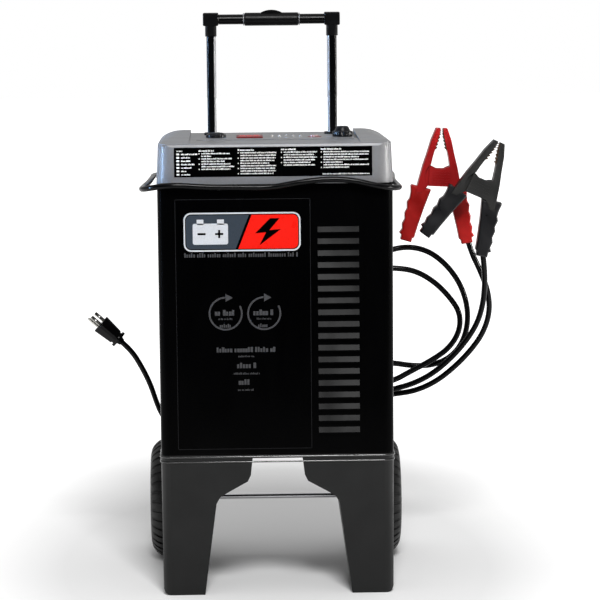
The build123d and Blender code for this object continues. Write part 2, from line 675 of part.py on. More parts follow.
BLACK_ROUTE = [
    (124, 284, 267), (157, 284, 270), (190, 284, 274), (219, 284, 290), (252, 284, 307),
    (280, 284, 326), (297, 284, 353), (298, 284, 383), (282, 284, 408), (258, 284, 433),
    (227, 284, 452), (193, 284, 457), (155, 284, 456), (115, 284, 452), (76, 284, 448.5),
    (34, 284, 447), (-8, 284, 449), (-38, 284, 431), (-54, 284, 399), (-58, 284, 360),
    (-53, 284, 319), (-37, 284, 283), (-6, 284, 258), (32, 284, 245), (74, 284, 239),
    (116, 284, 241), (153, 284, 249), (189, 283, 261), (221, 278, 270), (252, 271, 287),
    (280, 263, 312), (304, 254, 341), (322, 245, 372), (330, 235, 405), (331.5, 225, 437),
    (330, 217, 463), (327.3, 215, 486.4)]
MAINS_ROUTE = [
    (-140, 284, 324), (-139, 285, 362), (-134, 287, 408), (-126, 288, 456), (-119, 289, 504),
    (-116, 289, 545), (-121, 290, 573), (-139, 291, 595), (-161, 289, 606), (-179.5, 274.5, 610),
    (-186.5, 250, 611), (-187, 212, 611), (-188, 170, 611), (-190.5, 128, 610), (-194, 86, 609.5),
    (-197, 45, 609), (-197, 17.7, 610), (-185.8, -1.8, 613), (-166.3, -13, 617),
    (-140, -13, 618), (-98, -11, 614.5), (-52, -11.5, 614), (-8, -11, 613), (26, -12, 619),
    (54, -12, 623), (84, -12, 625), (112, -12, 623), (133, -12.5, 618.5), (153.8, -12.5, 613.5),
    (173.3, -1.3, 610), (184.5, 18.2, 609), (185, 45, 608.5), (183, 85, 609), (181.5, 125, 610.5),
    (183, 165, 611), (185.5, 205, 611), (187, 243, 611), (182.5, 269.5, 610), (165.5, 288.5, 609),
    (140.5, 293.5, 608.5), (100, 290, 609), (54, 289, 607.5), (12, 288, 609), (-26, 289, 608),
    (-56, 289, 599), (-77, 288, 578), (-87, 288, 550), (-91, 287, 515), (-95, 288, 470),
    (-93, 287, 425), (-97, 287, 380), (-94, 288, 335), (-93, 287, 293), (-90, 287, 258),
    (-99, 287, 227), (-122, 287, 206), (-153, 286, 203), (-178, 280, 220), (-188, 267, 247),
    (-196, 254, 277), (-209, 250, 306), (-225.5, 250, 334), (-240.5, 250, 347.5)]
PLUG_TILT = 42.0            # degrees above level, pointing to the left
PLUG_ROLL = -42.0           # turn about its own length


def tube_path(route, name, diameter):
    """Straight runs joined by arcs as large as the runs allow."""
    points = [at(*point) for point in route]
    radii = []
    for before, corner, after in zip(points, points[1:], points[2:]):
        first = corner - before
        second = after - corner
        half_turn = radians(first.get_angle(second)) / 2
        shorter = min(first.length, second.length)
        radii.append(0.45 * shorter / tan(half_turn))
    path = FilletPolyline(*points, radius=radii)
    print(name, "length", round(path.length), "radii in diameters",
          [round(r / diameter, 1) for r in radii])
    return path


def make_tube(route, name, diameter):
    path = tube_path(route, name, diameter)
    start = Plane(origin=path @ 0, z_dir=path % 0)
    tube = sweep(start * Circle(diameter / 2), path=path)
    expected = pi * (diameter / 2) ** 2 * path.length
    print(name, "volume ratio", round(tube.volume / expected, 4))
    return tube


def make_boot(x, z, end, cord_d):
    """Elbow strain relief: a flange on the panel, then a boot that turns along the cord."""
    face = BODY_D - SHEET
    radius = cord_d / 2 + 3
    boot = rod(11, at(x, face, z), at(x, face + 3, z))
    boot += rod(5.9, at(x, face - 4, z), at(x, face + 1, z))
    boot += rod(radius, at(x, face + 1, z), at(x, EXIT_DEPTH, z))
    boot += Pos(at(x, EXIT_DEPTH, z)) * Sphere(radius)
    axis = end - at(x, EXIT_DEPTH, z)
    cone = Plane(origin=at(x, EXIT_DEPTH, z), z_dir=axis)
    boot += cone * (Pos(0, 0, axis.length / 2) * Cone(radius, cord_d / 2 + 0.9, axis.length))
    return boot


def route_start(route):
    return at(*route[0])


def plug_place():
    """Frame of the plug: local z towards the pins, origin where the cord enters."""
    end = at(*MAINS_ROUTE[-1])
    tilt = radians(PLUG_TILT)
    frame = Plane(origin=end, x_dir=(sin(tilt), 0, cos(tilt)), z_dir=(-cos(tilt), 0, sin(tilt)))
    return frame.location * Rot(0, 0, PLUG_ROLL)


PLUG_LENGTH = 45.0


def make_plug_body():
    """Moulded plug: a short relief, a finger flange, a waist and a body that widens."""
    relief = Pos(0, 0, 3) * Cone(5.4, 7.0, 6)
    flange = extrude(Pos(0, 0, 5.5) * RectangleRounded(25, 23, 8), amount=4.5)
    waist = extrude(Pos(0, 0, 9) * RectangleRounded(20, 18, 7), amount=5)
    body = loft([Pos(0, 0, 13) * RectangleRounded(22.5, 20.5, 7),
                 Pos(0, 0, PLUG_LENGTH) * RectangleRounded(27.5, 25, 8)])
    body = chamfer(body.edges().group_by(Axis.Z)[-1], 1.0)
    return plug_place() * (relief + flange + waist + body)


BLADE_SHIFT = 3.9           # from the plug's middle to the blades' line
EARTH_SHIFT = -8.0


def make_prongs():
    """Two flat blades and the longer round earth pin."""
    pins = []
    for side in (-6.35, 6.35):
        blade = Box(1.5, 6.3, 17.5)
        blade = chamfer(blade.edges().filter_by(Axis.X).group_by(Axis.Z)[-1], 1.2)
        blade -= Rot(0, 90, 0) * Cylinder(1.5, 4)
        pins.append(Pos(side, BLADE_SHIFT, PLUG_LENGTH + 8.75) * blade)
    earth = Cylinder(2.4, 20.6)
    earth = chamfer(earth.edges().group_by(Axis.Z)[-1], 1.6)
    pins.append(Pos(0, EARTH_SHIFT, PLUG_LENGTH + 10.3) * earth)
    return group(*[plug_place() * pin for pin in pins])


HOOK_XS = (4.0, 80.0)
PEG_TOP = 439.3


def make_hook(x):
    """J-shaped peg that the clamp cables hang over."""
    face = BODY_D - SHEET
    peg = block(x - 8, x + 8, face, 309, PEG_TOP - 6.5, PEG_TOP)
    tip = block(x - 8, x + 8, 304, 309, PEG_TOP - 6.5, 460)
    plate = block(x - 12, x + 12, face, face + 3, 418, 464)
    return peg + tip + plate


# ---------------------------------------------------------------- clamps
JAW_Y = 11.0                # half thickness of a jaw
EAR_Y0 = 7.0                # inner face of the fixed half's ears
INNER_EAR = 6.7             # outer face of the moving half's ears
SPRING_Y = 3.5
EAR_CLEAR_R = 24.0          # thick parts of the moving half stay outside this circle
PIN_R = 3.0
PIN_HALF = 9.6              # half length of the pin, blind in both outer ears


def half_outline():
    """Right-hand jaw arm, from the tip down to the end of the tang, local X-Z."""
    return [(2.0, 76), (8.7, 76), (11.8, 68), (16, 57), (21.6, 35), (27.2, 16), (33, -9),
            (35.6, -22), (50.5, -84), (42.5, -86), (27, -24), (18, -15), (8, -15), (8, 14),
            (15, 17), (12, 32), (7, 52), (3.4, 66)]


def prism(points, y0, y1):
    """Local X-Z outline extruded between two local y values."""
    face = Plane(origin=(0, y0, 0), x_dir=(1, 0, 0), z_dir=(0, -1, 0)) * make_face(
        Polyline(*points, close=True))
    return extrude(face, amount=-(y1 - y0))


def pivot_disc(radius, y0, y1):
    return extrude(Plane(origin=(0, y0, 0), z_dir=(0, 1, 0)) * Circle(radius), amount=y1 - y0)


def web_outline():
    """Ear plate round the pivot, hollowed on top."""
    return [(-17, 16.5), (-9, 13.2), (0, 12.2), (9, 13.2), (17, 17), (25.5, 16), (29.5, -9),
            (24, -15), (-17, -15)]


def fixed_half():
    """Half with the outer ears, the cable and the spring's seat."""
    solid = prism(half_outline(), -JAW_Y, JAW_Y)
    solid -= pivot_disc(EAR_CLEAR_R - 2.4, -EAR_Y0, EAR_Y0)
    ear = prism(web_outline(), EAR_Y0, JAW_Y)
    solid += ear + mirror(ear, about=Plane.XZ)
    tang_slim = [(22, -26), (60, -26), (60, -100), (20, -100)]
    for y in (-JAW_Y - 1, 7.0):
        solid -= prism(tang_slim, y, y + 5)
    return solid - pivot_disc(PIN_R, -PIN_HALF, PIN_HALF)


def moving_half():
    """Half with the inner ears, mirrored to the left side."""
    outline = [(-x, z) for x, z in half_outline()]
    thick = prism(outline, -JAW_Y, JAW_Y) - pivot_disc(EAR_CLEAR_R, -20, 20)
    ears = prism(outline, -INNER_EAR, INNER_EAR) + pivot_disc(13, -INNER_EAR, INNER_EAR)
    ears -= pivot_disc(22.5, -SPRING_Y, SPRING_Y)
    ears -= prism([(9.5, 20), (60, 20), (60, -60), (9.5, -60)], -20, 20)
    solid = thick + ears
    tang_slim = [(-22, -26), (-60, -26), (-60, -100), (-20, -100)]
    for y in (-JAW_Y - 1, 7.0):
        solid -= prism(tang_slim, y, y + 5)
    return solid - pivot_disc(PIN_R + RUN_FIT, -20, 20)


GRIP_TOP = (29.5, -17.0)
GRIP_END = (48.5, -100.0)
GRIP_SPAN = hypot(GRIP_END[0] - GRIP_TOP[0], GRIP_END[1] - GRIP_TOP[1])


def grip_sleeve(side, slide=0.0):
    """Ribbed vinyl sleeve over a tang: wavy outside, straight inside, pushed up by slide."""
    outer = [(13.5, 0), (14.8, 2.5), (12, 13), (11.2, 22), (13.6, 29), (10.8, 39), (12.6, 46),
             (10, 56), (12, 64), (9.8, 72), (12.4, 78.5), (8.4, 80.5), (8, GRIP_SPAN + 3)]
    inner = [(-9.4, GRIP_SPAN + 3), (-9.6, GRIP_SPAN - 4), (-12, GRIP_SPAN - 5.5), (-12.5, 60),
             (-14.5, 30), (-17.5, 0)]
    lean = atan2(GRIP_END[0] - GRIP_TOP[0], GRIP_TOP[1] - GRIP_END[1])
    points = []
    for across, along in outer + inner:
        x = GRIP_TOP[0] + across * cos(lean) + (along - slide) * sin(lean)
        z = GRIP_TOP[1] + across * sin(lean) - (along - slide) * cos(lean)
        points.append((side * x, z))
    sleeve = prism(points, -10.5, 10.5)
    return chamfer(sleeve.edges().filter_by(GeomType.LINE).filter_by(Axis.Y, reverse=True), 1.8)


def contact_strip(side):
    """Toothed copper jaw insert."""
    teeth = [(3.2, 72)]
    for step in range(6):
        z = 69.5 - step * 5
        edge = 3.2 + (72 - z) * 0.19
        teeth += [(edge - 2.4, z), (edge + 0.2, z - 2.2)]
    back = [(10.5, 40), (5.6, 66), (4.4, 72)]
    points = [(side * x, z) for x, z in teeth + back]
    return prism(points, -6, 6)


def make_spring():
    """Torsion spring: three turns round the pin and two legs."""
    turns = None
    for y in (-2.1, 0, 2.1):
        ring = Plane(origin=(0, y, 0), z_dir=(0, 1, 0)) * Torus(6.2, 1.1)
        turns = ring if turns is None else turns + ring
    for side in (-1, 1):
        start = Vector(side * 6.2, side * 2.1, 0)
        end = Vector(side * 10.5, side * 2.1, -15)
        turns += rod(1.1, start, end)
    return turns


def make_pin():
    return pivot_disc(PIN_R, -PIN_HALF, PIN_HALF)


def clamp_frame(pivot, lean):
    """Place of a clamp whose jaws point up, leaning to the right by some degrees."""
    return Pos(at(*pivot)) * Rot(0, lean, 0)


RED_CLAMP = clamp_frame((262.0, 250, 605.0), 2.8)
BLACK_CLAMP = clamp_frame((321.5, 215, 591.5), 24.0)
BLACK_SLEEVE_SLIDE = 5.0    # this sleeve sits further up its tang than the others


def save_clamp(colour, place, slide=0.0):
    """The four moulded pieces of one clamp and its moving contact."""
    fixed_contact = contact_strip(1)
    moving_contact = contact_strip(-1)
    fixed = fixed_half() - fixed_contact
    moving = moving_half() - moving_contact
    fixed_grip = grip_sleeve(1, slide) - fixed_half()
    moving_grip = grip_sleeve(-1) - moving_half()
    save(colour + "_fixed_jaw", place * fixed)
    save(colour + "_moving_jaw", place * moving)
    save(colour + "_fixed_grip", place * fixed_grip)
    save(colour + "_moving_grip", place * moving_grip)
    save(colour + "_moving_contact", place * moving_contact)


def both_clamps(piece):
    return group(RED_CLAMP * piece, BLACK_CLAMP * piece)


# ---------------------------------------------------------------- writing the nodes
save("base_frame", make_base())
tyre = spun(tyre_profile(), WHEEL_X)
hub = make_hub()
save("tyre_right", tyre)
save("tyre_left", mirrored(tyre))
save("hub_right", hub)
save("hub_left", mirrored(hub))
save("axle", make_axle())
save("axle_caps", group(make_axle_cap(), mirrored(make_axle_cap())))
save("axle_spacers", group(make_spacer(), mirrored(make_spacer())))

save("front_shell", make_front_shell())
save("rear_panel", make_rear_panel())
save("base_pan", make_base_pan())
save("case_screws", make_screws())
save("front_label", make_front_label())

save("lid", make_lid())
save("instruction_label", label_on_lid())
save("control_panel", make_control_panel())
save("display_window", make_display())
save("status_leds", make_leds())
save("left_knob", make_knob(LEFT_KNOB_X, 15.5, 4.5, 12.6, 11.0, 2.5))
save("right_knob", make_knob(RIGHT_KNOB_X, 15.2, 8.0, 12.2, 8.8, 7.0))
save("start_button", make_start_button())

save("handle_tube_right", make_handle_tube())
save("handle_tube_left", mirrored(make_handle_tube()))
save("handle_corners", group(make_corner(), mirrored(make_corner())))
save("handle_crossbar", make_crossbar())
save("handle_grip", make_grip())
save("release_button", make_release_button())
save("guide_tubes", group(make_guide_tube(), mirrored(make_guide_tube())))
save("guide_bezels", group(make_guide_bezel(), mirrored(make_guide_bezel())))
save("guide_bracket", make_guide_bracket())

save("transformer_core", make_core())
save("transformer_coil", make_coil())
save("heat_sink", make_heat_sink())
save("rectifier_diodes", make_diodes())
save("control_board", make_control_board())
save("board_components", make_board_parts())
save("fan_frame", make_fan_frame())
save("fan_rotor", make_fan_rotor())
save("fan_guard", make_fan_guard())

save("mains_gland", make_boot(*MAINS_GLAND, route_start(MAINS_ROUTE), MAINS_D))
save("cable_glands", group(
    make_boot(GLAND_X, RED_EXIT_Z, route_start(RED_ROUTE), CABLE_D),
    make_boot(GLAND_X, BLACK_EXIT_Z, route_start(BLACK_ROUTE), CABLE_D)))
save("cord_hooks", group(*[make_hook(x) for x in HOOK_XS]))
save("mains_cord", make_tube(MAINS_ROUTE, "mains_cord", MAINS_D))
save("plug_body", make_plug_body())
save("plug_prongs", make_prongs())
save("red_cable", make_tube(RED_ROUTE, "red_cable", CABLE_D))
save("black_cable", make_tube(BLACK_ROUTE, "black_cable", CABLE_D))

save("clamp_pivots", both_clamps(make_pin()))
save("clamp_springs", both_clamps(make_spring()))
save("clamp_fixed_contacts", both_clamps(contact_strip(1)))
save_clamp("red", RED_CLAMP)
save_clamp("black", BLACK_CLAMP, BLACK_SLEEVE_SLIDE)
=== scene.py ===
"""Looks of the battery charger: materials, prints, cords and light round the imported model."""
import json
import random
from math import cos, radians, sin, tan

import bmesh
import bpy
from mathutils import Matrix, Vector


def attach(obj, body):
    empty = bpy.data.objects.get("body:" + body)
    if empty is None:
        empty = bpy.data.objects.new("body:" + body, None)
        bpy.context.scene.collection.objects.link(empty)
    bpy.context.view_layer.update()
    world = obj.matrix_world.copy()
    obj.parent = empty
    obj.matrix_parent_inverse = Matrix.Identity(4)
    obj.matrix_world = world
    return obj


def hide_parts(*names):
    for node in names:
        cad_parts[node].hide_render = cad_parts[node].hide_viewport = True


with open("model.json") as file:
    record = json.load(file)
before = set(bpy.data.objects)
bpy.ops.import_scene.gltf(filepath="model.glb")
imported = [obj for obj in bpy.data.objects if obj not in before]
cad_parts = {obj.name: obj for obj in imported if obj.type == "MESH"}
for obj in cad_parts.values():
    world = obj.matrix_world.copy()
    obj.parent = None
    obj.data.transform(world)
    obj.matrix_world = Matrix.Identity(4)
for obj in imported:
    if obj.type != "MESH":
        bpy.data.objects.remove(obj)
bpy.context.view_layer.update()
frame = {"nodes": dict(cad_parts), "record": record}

MM = 0.001
FRONT_Y = -0.1788           # y of the front panel's plane


def at(x, depth, z):
    """Point in metres from millimetres, with the depth counted from the front panel."""
    return Vector((x * MM, FRONT_Y + depth * MM, z * MM))


# ---------------------------------------------------------------- camera
CAMERA_PLACE = (-0.0562, -3.8553, 0.9378)
CAMERA_YAW = radians(1.424)
CAMERA_PITCH = radians(7.632)
CAMERA_ROLL = radians(-0.487)
CAMERA_LENS = 150.5
SENSOR_WIDTH = 36
FAR_CLIP = 200


def make_camera():
    data = bpy.data.cameras.new("camera")
    data.lens = CAMERA_LENS
    data.sensor_width = SENSOR_WIDTH
    data.clip_end = FAR_CLIP
    camera = bpy.data.objects.new("camera", data)
    bpy.context.scene.collection.objects.link(camera)
    level = cos(CAMERA_PITCH)
    ahead = Vector((sin(CAMERA_YAW) * level, cos(CAMERA_YAW) * level, -sin(CAMERA_PITCH)))
    right = Vector((cos(CAMERA_YAW), -sin(CAMERA_YAW), 0))
    up = right.cross(ahead)
    rolled = right * cos(CAMERA_ROLL) + up * sin(CAMERA_ROLL)
    top = up * cos(CAMERA_ROLL) - right * sin(CAMERA_ROLL)
    turn = Matrix((rolled, top, -ahead)).transposed().to_4x4()
    camera.matrix_world = Matrix.Translation(CAMERA_PLACE) @ turn
    bpy.context.scene.camera = camera


# ---------------------------------------------------------------- materials
RANGE_SOCKETS = ("From Min", "From Max", "To Min", "To Max")


class Shader:
    """Node tree of one material, with short calls for the nodes it needs."""

    def __init__(self, name, **constants):
        self.material = bpy.data.materials.new(name)
        self.material.use_nodes = True
        self.tree = self.material.node_tree
        self.bsdf = self.tree.nodes["Principled BSDF"]
        self.place = self.tree.nodes.new("ShaderNodeTexCoord").outputs["Object"]
        for socket, value in constants.items():
            self.bsdf.inputs[socket.replace("_", " ")].default_value = value

    def node(self, kind, **settings):
        made = self.tree.nodes.new("ShaderNode" + kind)
        for key, value in settings.items():
            setattr(made, key, value)
        return made

    def link(self, source, target):
        self.tree.links.new(source, target)

    def noise(self, scale, detail=3.0, stretch=None):
        made = self.node("TexNoise")
        made.inputs["Scale"].default_value = scale
        made.inputs["Detail"].default_value = detail
        place = self.place
        if stretch:
            mapping = self.node("Mapping")
            mapping.inputs["Scale"].default_value = stretch
            self.link(place, mapping.inputs["Vector"])
            place = mapping.outputs["Vector"]
        self.link(place, made.inputs["Vector"])
        return made.outputs["Fac"]

    def cells(self, scale, feature="F1", output="Distance"):
        made = self.node("TexVoronoi", feature=feature)
        made.inputs["Scale"].default_value = scale
        self.link(self.place, made.inputs["Vector"])
        return made.outputs[output]

    def spread(self, value, low, high, start=0.3, end=0.7):
        """Maps a texture value onto a range."""
        made = self.node("MapRange")
        for socket, number in zip(RANGE_SOCKETS, (start, end, low, high)):
            made.inputs[socket].default_value = number
        self.link(value, made.inputs["Value"])
        return made.outputs["Result"]

    def ramp(self, value, stops):
        made = self.node("ValToRGB")
        elements = made.color_ramp.elements
        while len(elements) < len(stops):
            elements.new(0.5)
        for element, (position, color) in zip(elements, stops):
            element.position = position
            element.color = (*color, 1)
        self.link(value, made.inputs["Fac"])
        return made.outputs["Color"]

    def roughness(self, value):
        self.link(value, self.bsdf.inputs["Roughness"])

    def color(self, value):
        self.link(value, self.bsdf.inputs["Base Color"])

    def bump(self, height, distance, strength=1.0):
        """Adds a bump; several calls are chained."""
        made = self.node("Bump")
        made.inputs["Strength"].default_value = strength
        made.inputs["Distance"].default_value = distance
        self.link(height, made.inputs["Height"])
        normal = self.bsdf.inputs["Normal"]
        if normal.is_linked:
            self.link(normal.links[0].from_socket, made.inputs["Normal"])
        self.link(made.outputs["Normal"], normal)


REFLECTION_BAND_TO = 0.0890            # how far out from the middle the painted reflection on the tubes' inner side reaches
REFLECTION_BAND_FADE = 0.0004


def shade_of(color, factor):
    return tuple(min(1.0, channel * factor) for channel in color)


def moulded(name, color, rough=0.45, grain=900, grain_depth=0.00006, level=0.4):
    """Moulded plastic with a fine grain and slightly uneven gloss."""
    shader = Shader(name, Specular_IOR_Level=level)
    patches = shader.noise(14, 4)
    shader.color(shader.ramp(patches, [(0.3, shade_of(color, 0.82)), (0.7, shade_of(color, 1.15))]))
    shader.roughness(shader.spread(shader.noise(35, 4), rough - 0.06, rough + 0.08))
    shader.bump(shader.noise(grain, 2), grain_depth, 0.5)
    return shader.material


def paint_shader(name, color, rough=0.22, level=0.3, peel=0.00003):
    """Gloss powder coat with orange peel and faint handling marks."""
    shader = Shader(name, Specular_IOR_Level=level)
    patches = shader.noise(6, 5)
    shader.color(shader.ramp(patches, [(0.3, shade_of(color, 0.8)), (0.75, shade_of(color, 1.3))]))
    marks = shader.noise(22, 6, stretch=(1, 1, 0.25))
    shader.roughness(shader.spread(marks, rough - 0.05, rough + 0.1))
    shader.bump(shader.noise(260, 2), peel, 0.6)
    return shader


def painted(name, color, *finish):
    return paint_shader(name, color, *finish).material


def metallic_paint(name, color, rough=0.6):
    """Silver paint: fine flakes under a satin coat."""
    shader = Shader(name, Metallic=0.2, Specular_IOR_Level=0.4, Coat_Weight=0.35, Coat_Roughness=0.28)
    flakes = shader.cells(2600, output="Color")
    split = shader.node("SeparateColor")
    shader.link(flakes, split.inputs["Color"])
    stops = [(0.1, shade_of(color, 0.86)), (0.9, shade_of(color, 1.16))]
    shader.color(shader.ramp(split.outputs["Red"], stops))
    shader.roughness(shader.spread(shader.noise(30, 5), rough - 0.05, rough + 0.08))
    shader.bump(shader.noise(700, 2), 0.00003, 0.4)
    return shader.material


def metal(name, color, rough=0.25, stretch=None, scale=240):
    """Plated or bare metal with fine drawn lines."""
    shader = Shader(name, Metallic=1.0)
    lines = shader.noise(scale, 4, stretch=stretch)
    shader.color(shader.ramp(lines, [(0.3, shade_of(color, 0.8)), (0.7, shade_of(color, 1.1))]))
    shader.roughness(shader.spread(lines, rough - 0.08, rough + 0.12))
    shader.bump(lines, 0.000008, 0.3)
    return shader.material


def tube_paint(name, color, reflection_grey):
    """Satin black tube, with a painted reflection: a light grey band along the side that faces the
    middle.
    """
    shader = paint_shader(name, color, 0.24, 0.12, 0.00001)
    paint = shader.bsdf.inputs["Base Color"].links[0].from_socket
    axes = shader.node("SeparateXYZ")
    shader.link(shader.place, axes.inputs["Vector"])
    outwards = shader.node("Math", operation="ABSOLUTE")
    shader.link(axes.outputs["X"], outwards.inputs[0])
    # Painted reflection: light grey where the tube faces the middle.
    band = shader.spread(outwards.outputs["Value"], 1, 0, REFLECTION_BAND_TO, REFLECTION_BAND_TO + REFLECTION_BAND_FADE)
    mix = shader.node("Mix", data_type="RGBA")
    shader.link(band, mix.inputs["Factor"])
    shader.link(paint, mix.inputs["A"])
    mix.inputs["B"].default_value = (*reflection_grey, 1)
    shader.color(mix.outputs["Result"])
    return shader.material


def rubber(name, color, rough=0.5, level=0.4, mottling=60):
    """Rubber or soft vinyl: fine pores and dusty patches."""
    shader = Shader(name, Specular_IOR_Level=level)
    dust = shader.noise(mottling, 5)
    shader.color(shader.ramp(dust, [(0.35, color), (0.75, shade_of(color, 1.7))]))
    shader.roughness(shader.spread(dust, rough - 0.08, rough + 0.12))
    shader.bump(shader.noise(1100, 2), 0.00003, 0.35)
    return shader.material


def ink(name, color, rough=0.4, level=0.3):
    """Screen print: slightly broken edges of colour and its own gloss."""
    shader = Shader(name, Specular_IOR_Level=level)
    screen = shader.noise(900, 2)
    shader.color(shader.ramp(screen, [(0.25, shade_of(color, 0.85)), (0.6, color)]))
    shader.roughness(shader.spread(shader.noise(60, 3), rough - 0.05, rough + 0.08))
    return shader.material


MATERIALS = {
    "base_plastic": moulded("base_plastic", (0.0088, 0.009, 0.009), 0.38, level=0.25),
    "black_sheet": painted("black_sheet", (0.0007, 0.0007, 0.0008), 0.2, 0.02),
    "zinc_sheet": metal("zinc_sheet", (0.55, 0.56, 0.58), 0.32),
    "zinc_steel": metal("zinc_steel", (0.66, 0.66, 0.68), 0.16, (0.02, 1, 1), 500),
    "label_black": painted("label_black", (0.0005, 0.0005, 0.0006), 0.2, 0.02, 0.00001),
    "lid_grey": metallic_paint("lid_grey", (0.172, 0.173, 0.180)),
    "display_red": painted("display_red", (0.11, 0.003, 0.005), 0.3, 0.1, 0.000005),
    "led_lens": moulded("led_lens", (0.40, 0.39, 0.38), 0.2, 400, 0.00001),
    "black_plastic": moulded("black_plastic", (0.0022, 0.0022, 0.0024), 0.34, level=0.12),
    "knob_black": moulded("knob_black", (0.004, 0.004, 0.005), 0.3, level=0.2),
    "button_silver": moulded("button_silver", (0.42, 0.27, 0.27), 0.3, 500, 0.00002),
    "handle_black": painted("handle_black", (0.0016, 0.0016, 0.0018), 0.24, 0.12, 0.00001),
    "tyre_rubber": rubber("tyre_rubber", (0.005, 0.005, 0.005), 0.5, 0.3),
    "hub_plastic": moulded("hub_plastic", (0.012, 0.012, 0.012), 0.42),
    "core_steel": metal("core_steel", (0.22, 0.21, 0.20), 0.45, (1, 60, 1), 60),
    "copper_winding": metal("copper_winding", (0.50, 0.20, 0.07), 0.35, (1, 1, 30), 60),
    "bare_aluminium": metal("bare_aluminium", (0.70, 0.70, 0.72), 0.35),
    "component_can": moulded("component_can", (0.03, 0.03, 0.035), 0.35),
    "board_green": moulded("board_green", (0.010, 0.085, 0.030), 0.3, 300),
    "guard_wire": metal("guard_wire", (0.55, 0.55, 0.57), 0.25),
    "cord_rubber": rubber("cord_rubber", (0.0014, 0.0014, 0.0016), 0.16, 0.12),
    "prong_metal": metal("prong_metal", (0.55, 0.54, 0.50), 0.25),
    "spring_steel": metal("spring_steel", (0.58, 0.58, 0.58), 0.25),
    "contact_copper": metal("contact_copper", (0.13, 0.075, 0.04), 0.5, None, 90),
    "clamp_red": moulded("clamp_red", (0.33, 0.009, 0.010), 0.34, 700, 0.00004, 0.2),
    "grip_red": rubber("grip_red", (0.26, 0.004, 0.003), 0.36, 0.3, 40),
    "clamp_black": moulded("clamp_black", (0.014, 0.014, 0.0135), 0.42, 700, 0.00006, 0.4),
    "grip_black": rubber("grip_black", (0.004, 0.004, 0.005), 0.34, 0.4, 40),
    "lip_gloss": moulded("lip_gloss", (0.012, 0.012, 0.012), 0.16, 300, 0.00001, 1.0),
    "glass_red": painted("glass_red", (0.26, 0.006, 0.010), 0.25, 0.1, 0.000005),
    # The tubes' second colour is a painted reflection along their inner sides.
    "tube_black": tube_paint("tube_black", (0.0016, 0.0016, 0.0018), (0.32, 0.32, 0.33)),
    "print_pale": ink("print_pale", (0.34, 0.34, 0.35)),
    "print_white": ink("print_white", (0.82, 0.82, 0.80)),
    "print_grey": ink("print_grey", (0.055, 0.055, 0.058), 0.5, 0.05),
    "print_dark": ink("print_dark", (0.012, 0.012, 0.013), 0.5, 0.05),
    "badge_silver": ink("badge_silver", (0.55, 0.56, 0.58), 0.3, 0.1),
    "badge_steel": ink("badge_steel", (0.035, 0.045, 0.058), 0.35, 0.1),
    "badge_red": ink("badge_red", (0.78, 0.012, 0.006), 0.3, 0.1),
}


def dress_nodes():
    """Gives every CAD node the material of its slot."""
    for part in frame["record"]["subparts"]:
        node = frame["nodes"][part["node"]]
        node.data.materials.clear()
        node.data.materials.append(MATERIALS[part["material_slot"]])
    for name in ("handle_tube_left", "handle_tube_right"):
        frame["nodes"][name].data.materials[0] = MATERIALS["tube_black"]


# ---------------------------------------------------------------- cords
RED_ROUTE = [
    (124, 284, 303), (155, 286, 303.5), (190, 294, 302.5), (222, 296, 296.5), (254, 296, 297),
    (283, 296, 309), (303, 296, 333), (311.5, 296, 364), (310, 296, 397), (298, 296, 431),
    (276, 296, 461), (247, 296, 483), (213, 296, 490), (178, 296, 482), (142, 296, 467),
    (105, 296, 455), (66, 296, 449), (24, 296, 447.5), (-18, 296, 450), (-53, 296, 433),
    (-71, 296, 398), (-77, 296, 357), (-71, 296, 313), (-50, 296, 275), (-14, 296, 251),
    (29, 296, 239), (72, 296, 235), (114, 296, 239), (152, 297, 246), (190, 296, 251),
    (224, 291, 256), (257, 285, 271), (287, 280, 295), (314, 274, 324), (334, 268, 354),
    (343.5, 263, 388), (340, 259, 422), (326, 254, 457), (313.5, 250.5, 482), (306.7, 250, 504)]
BLACK_ROUTE = [
    (124, 284, 267), (157, 284, 270), (190, 284, 274), (219, 284, 290), (252, 284, 307),
    (280, 284, 326), (297, 284, 353), (298, 284, 383), (282, 284, 408), (258, 284, 433),
    (227, 284, 452), (193, 284, 457), (155, 284, 456), (115, 284, 452), (76, 284, 448.5),
    (34, 284, 447), (-8, 284, 449), (-38, 284, 431), (-54, 284, 399), (-58, 284, 360),
    (-53, 284, 319), (-37, 284, 283), (-6, 284, 258), (32, 284, 245), (74, 284, 239),
    (116, 284, 241), (153, 284, 249), (189, 283, 261), (221, 278, 270), (252, 271, 287),
    (280, 263, 312), (304, 254, 341), (322, 245, 372), (330, 235, 405), (331.5, 225, 437),
    (330, 217, 463), (327.3, 215, 486.4)]
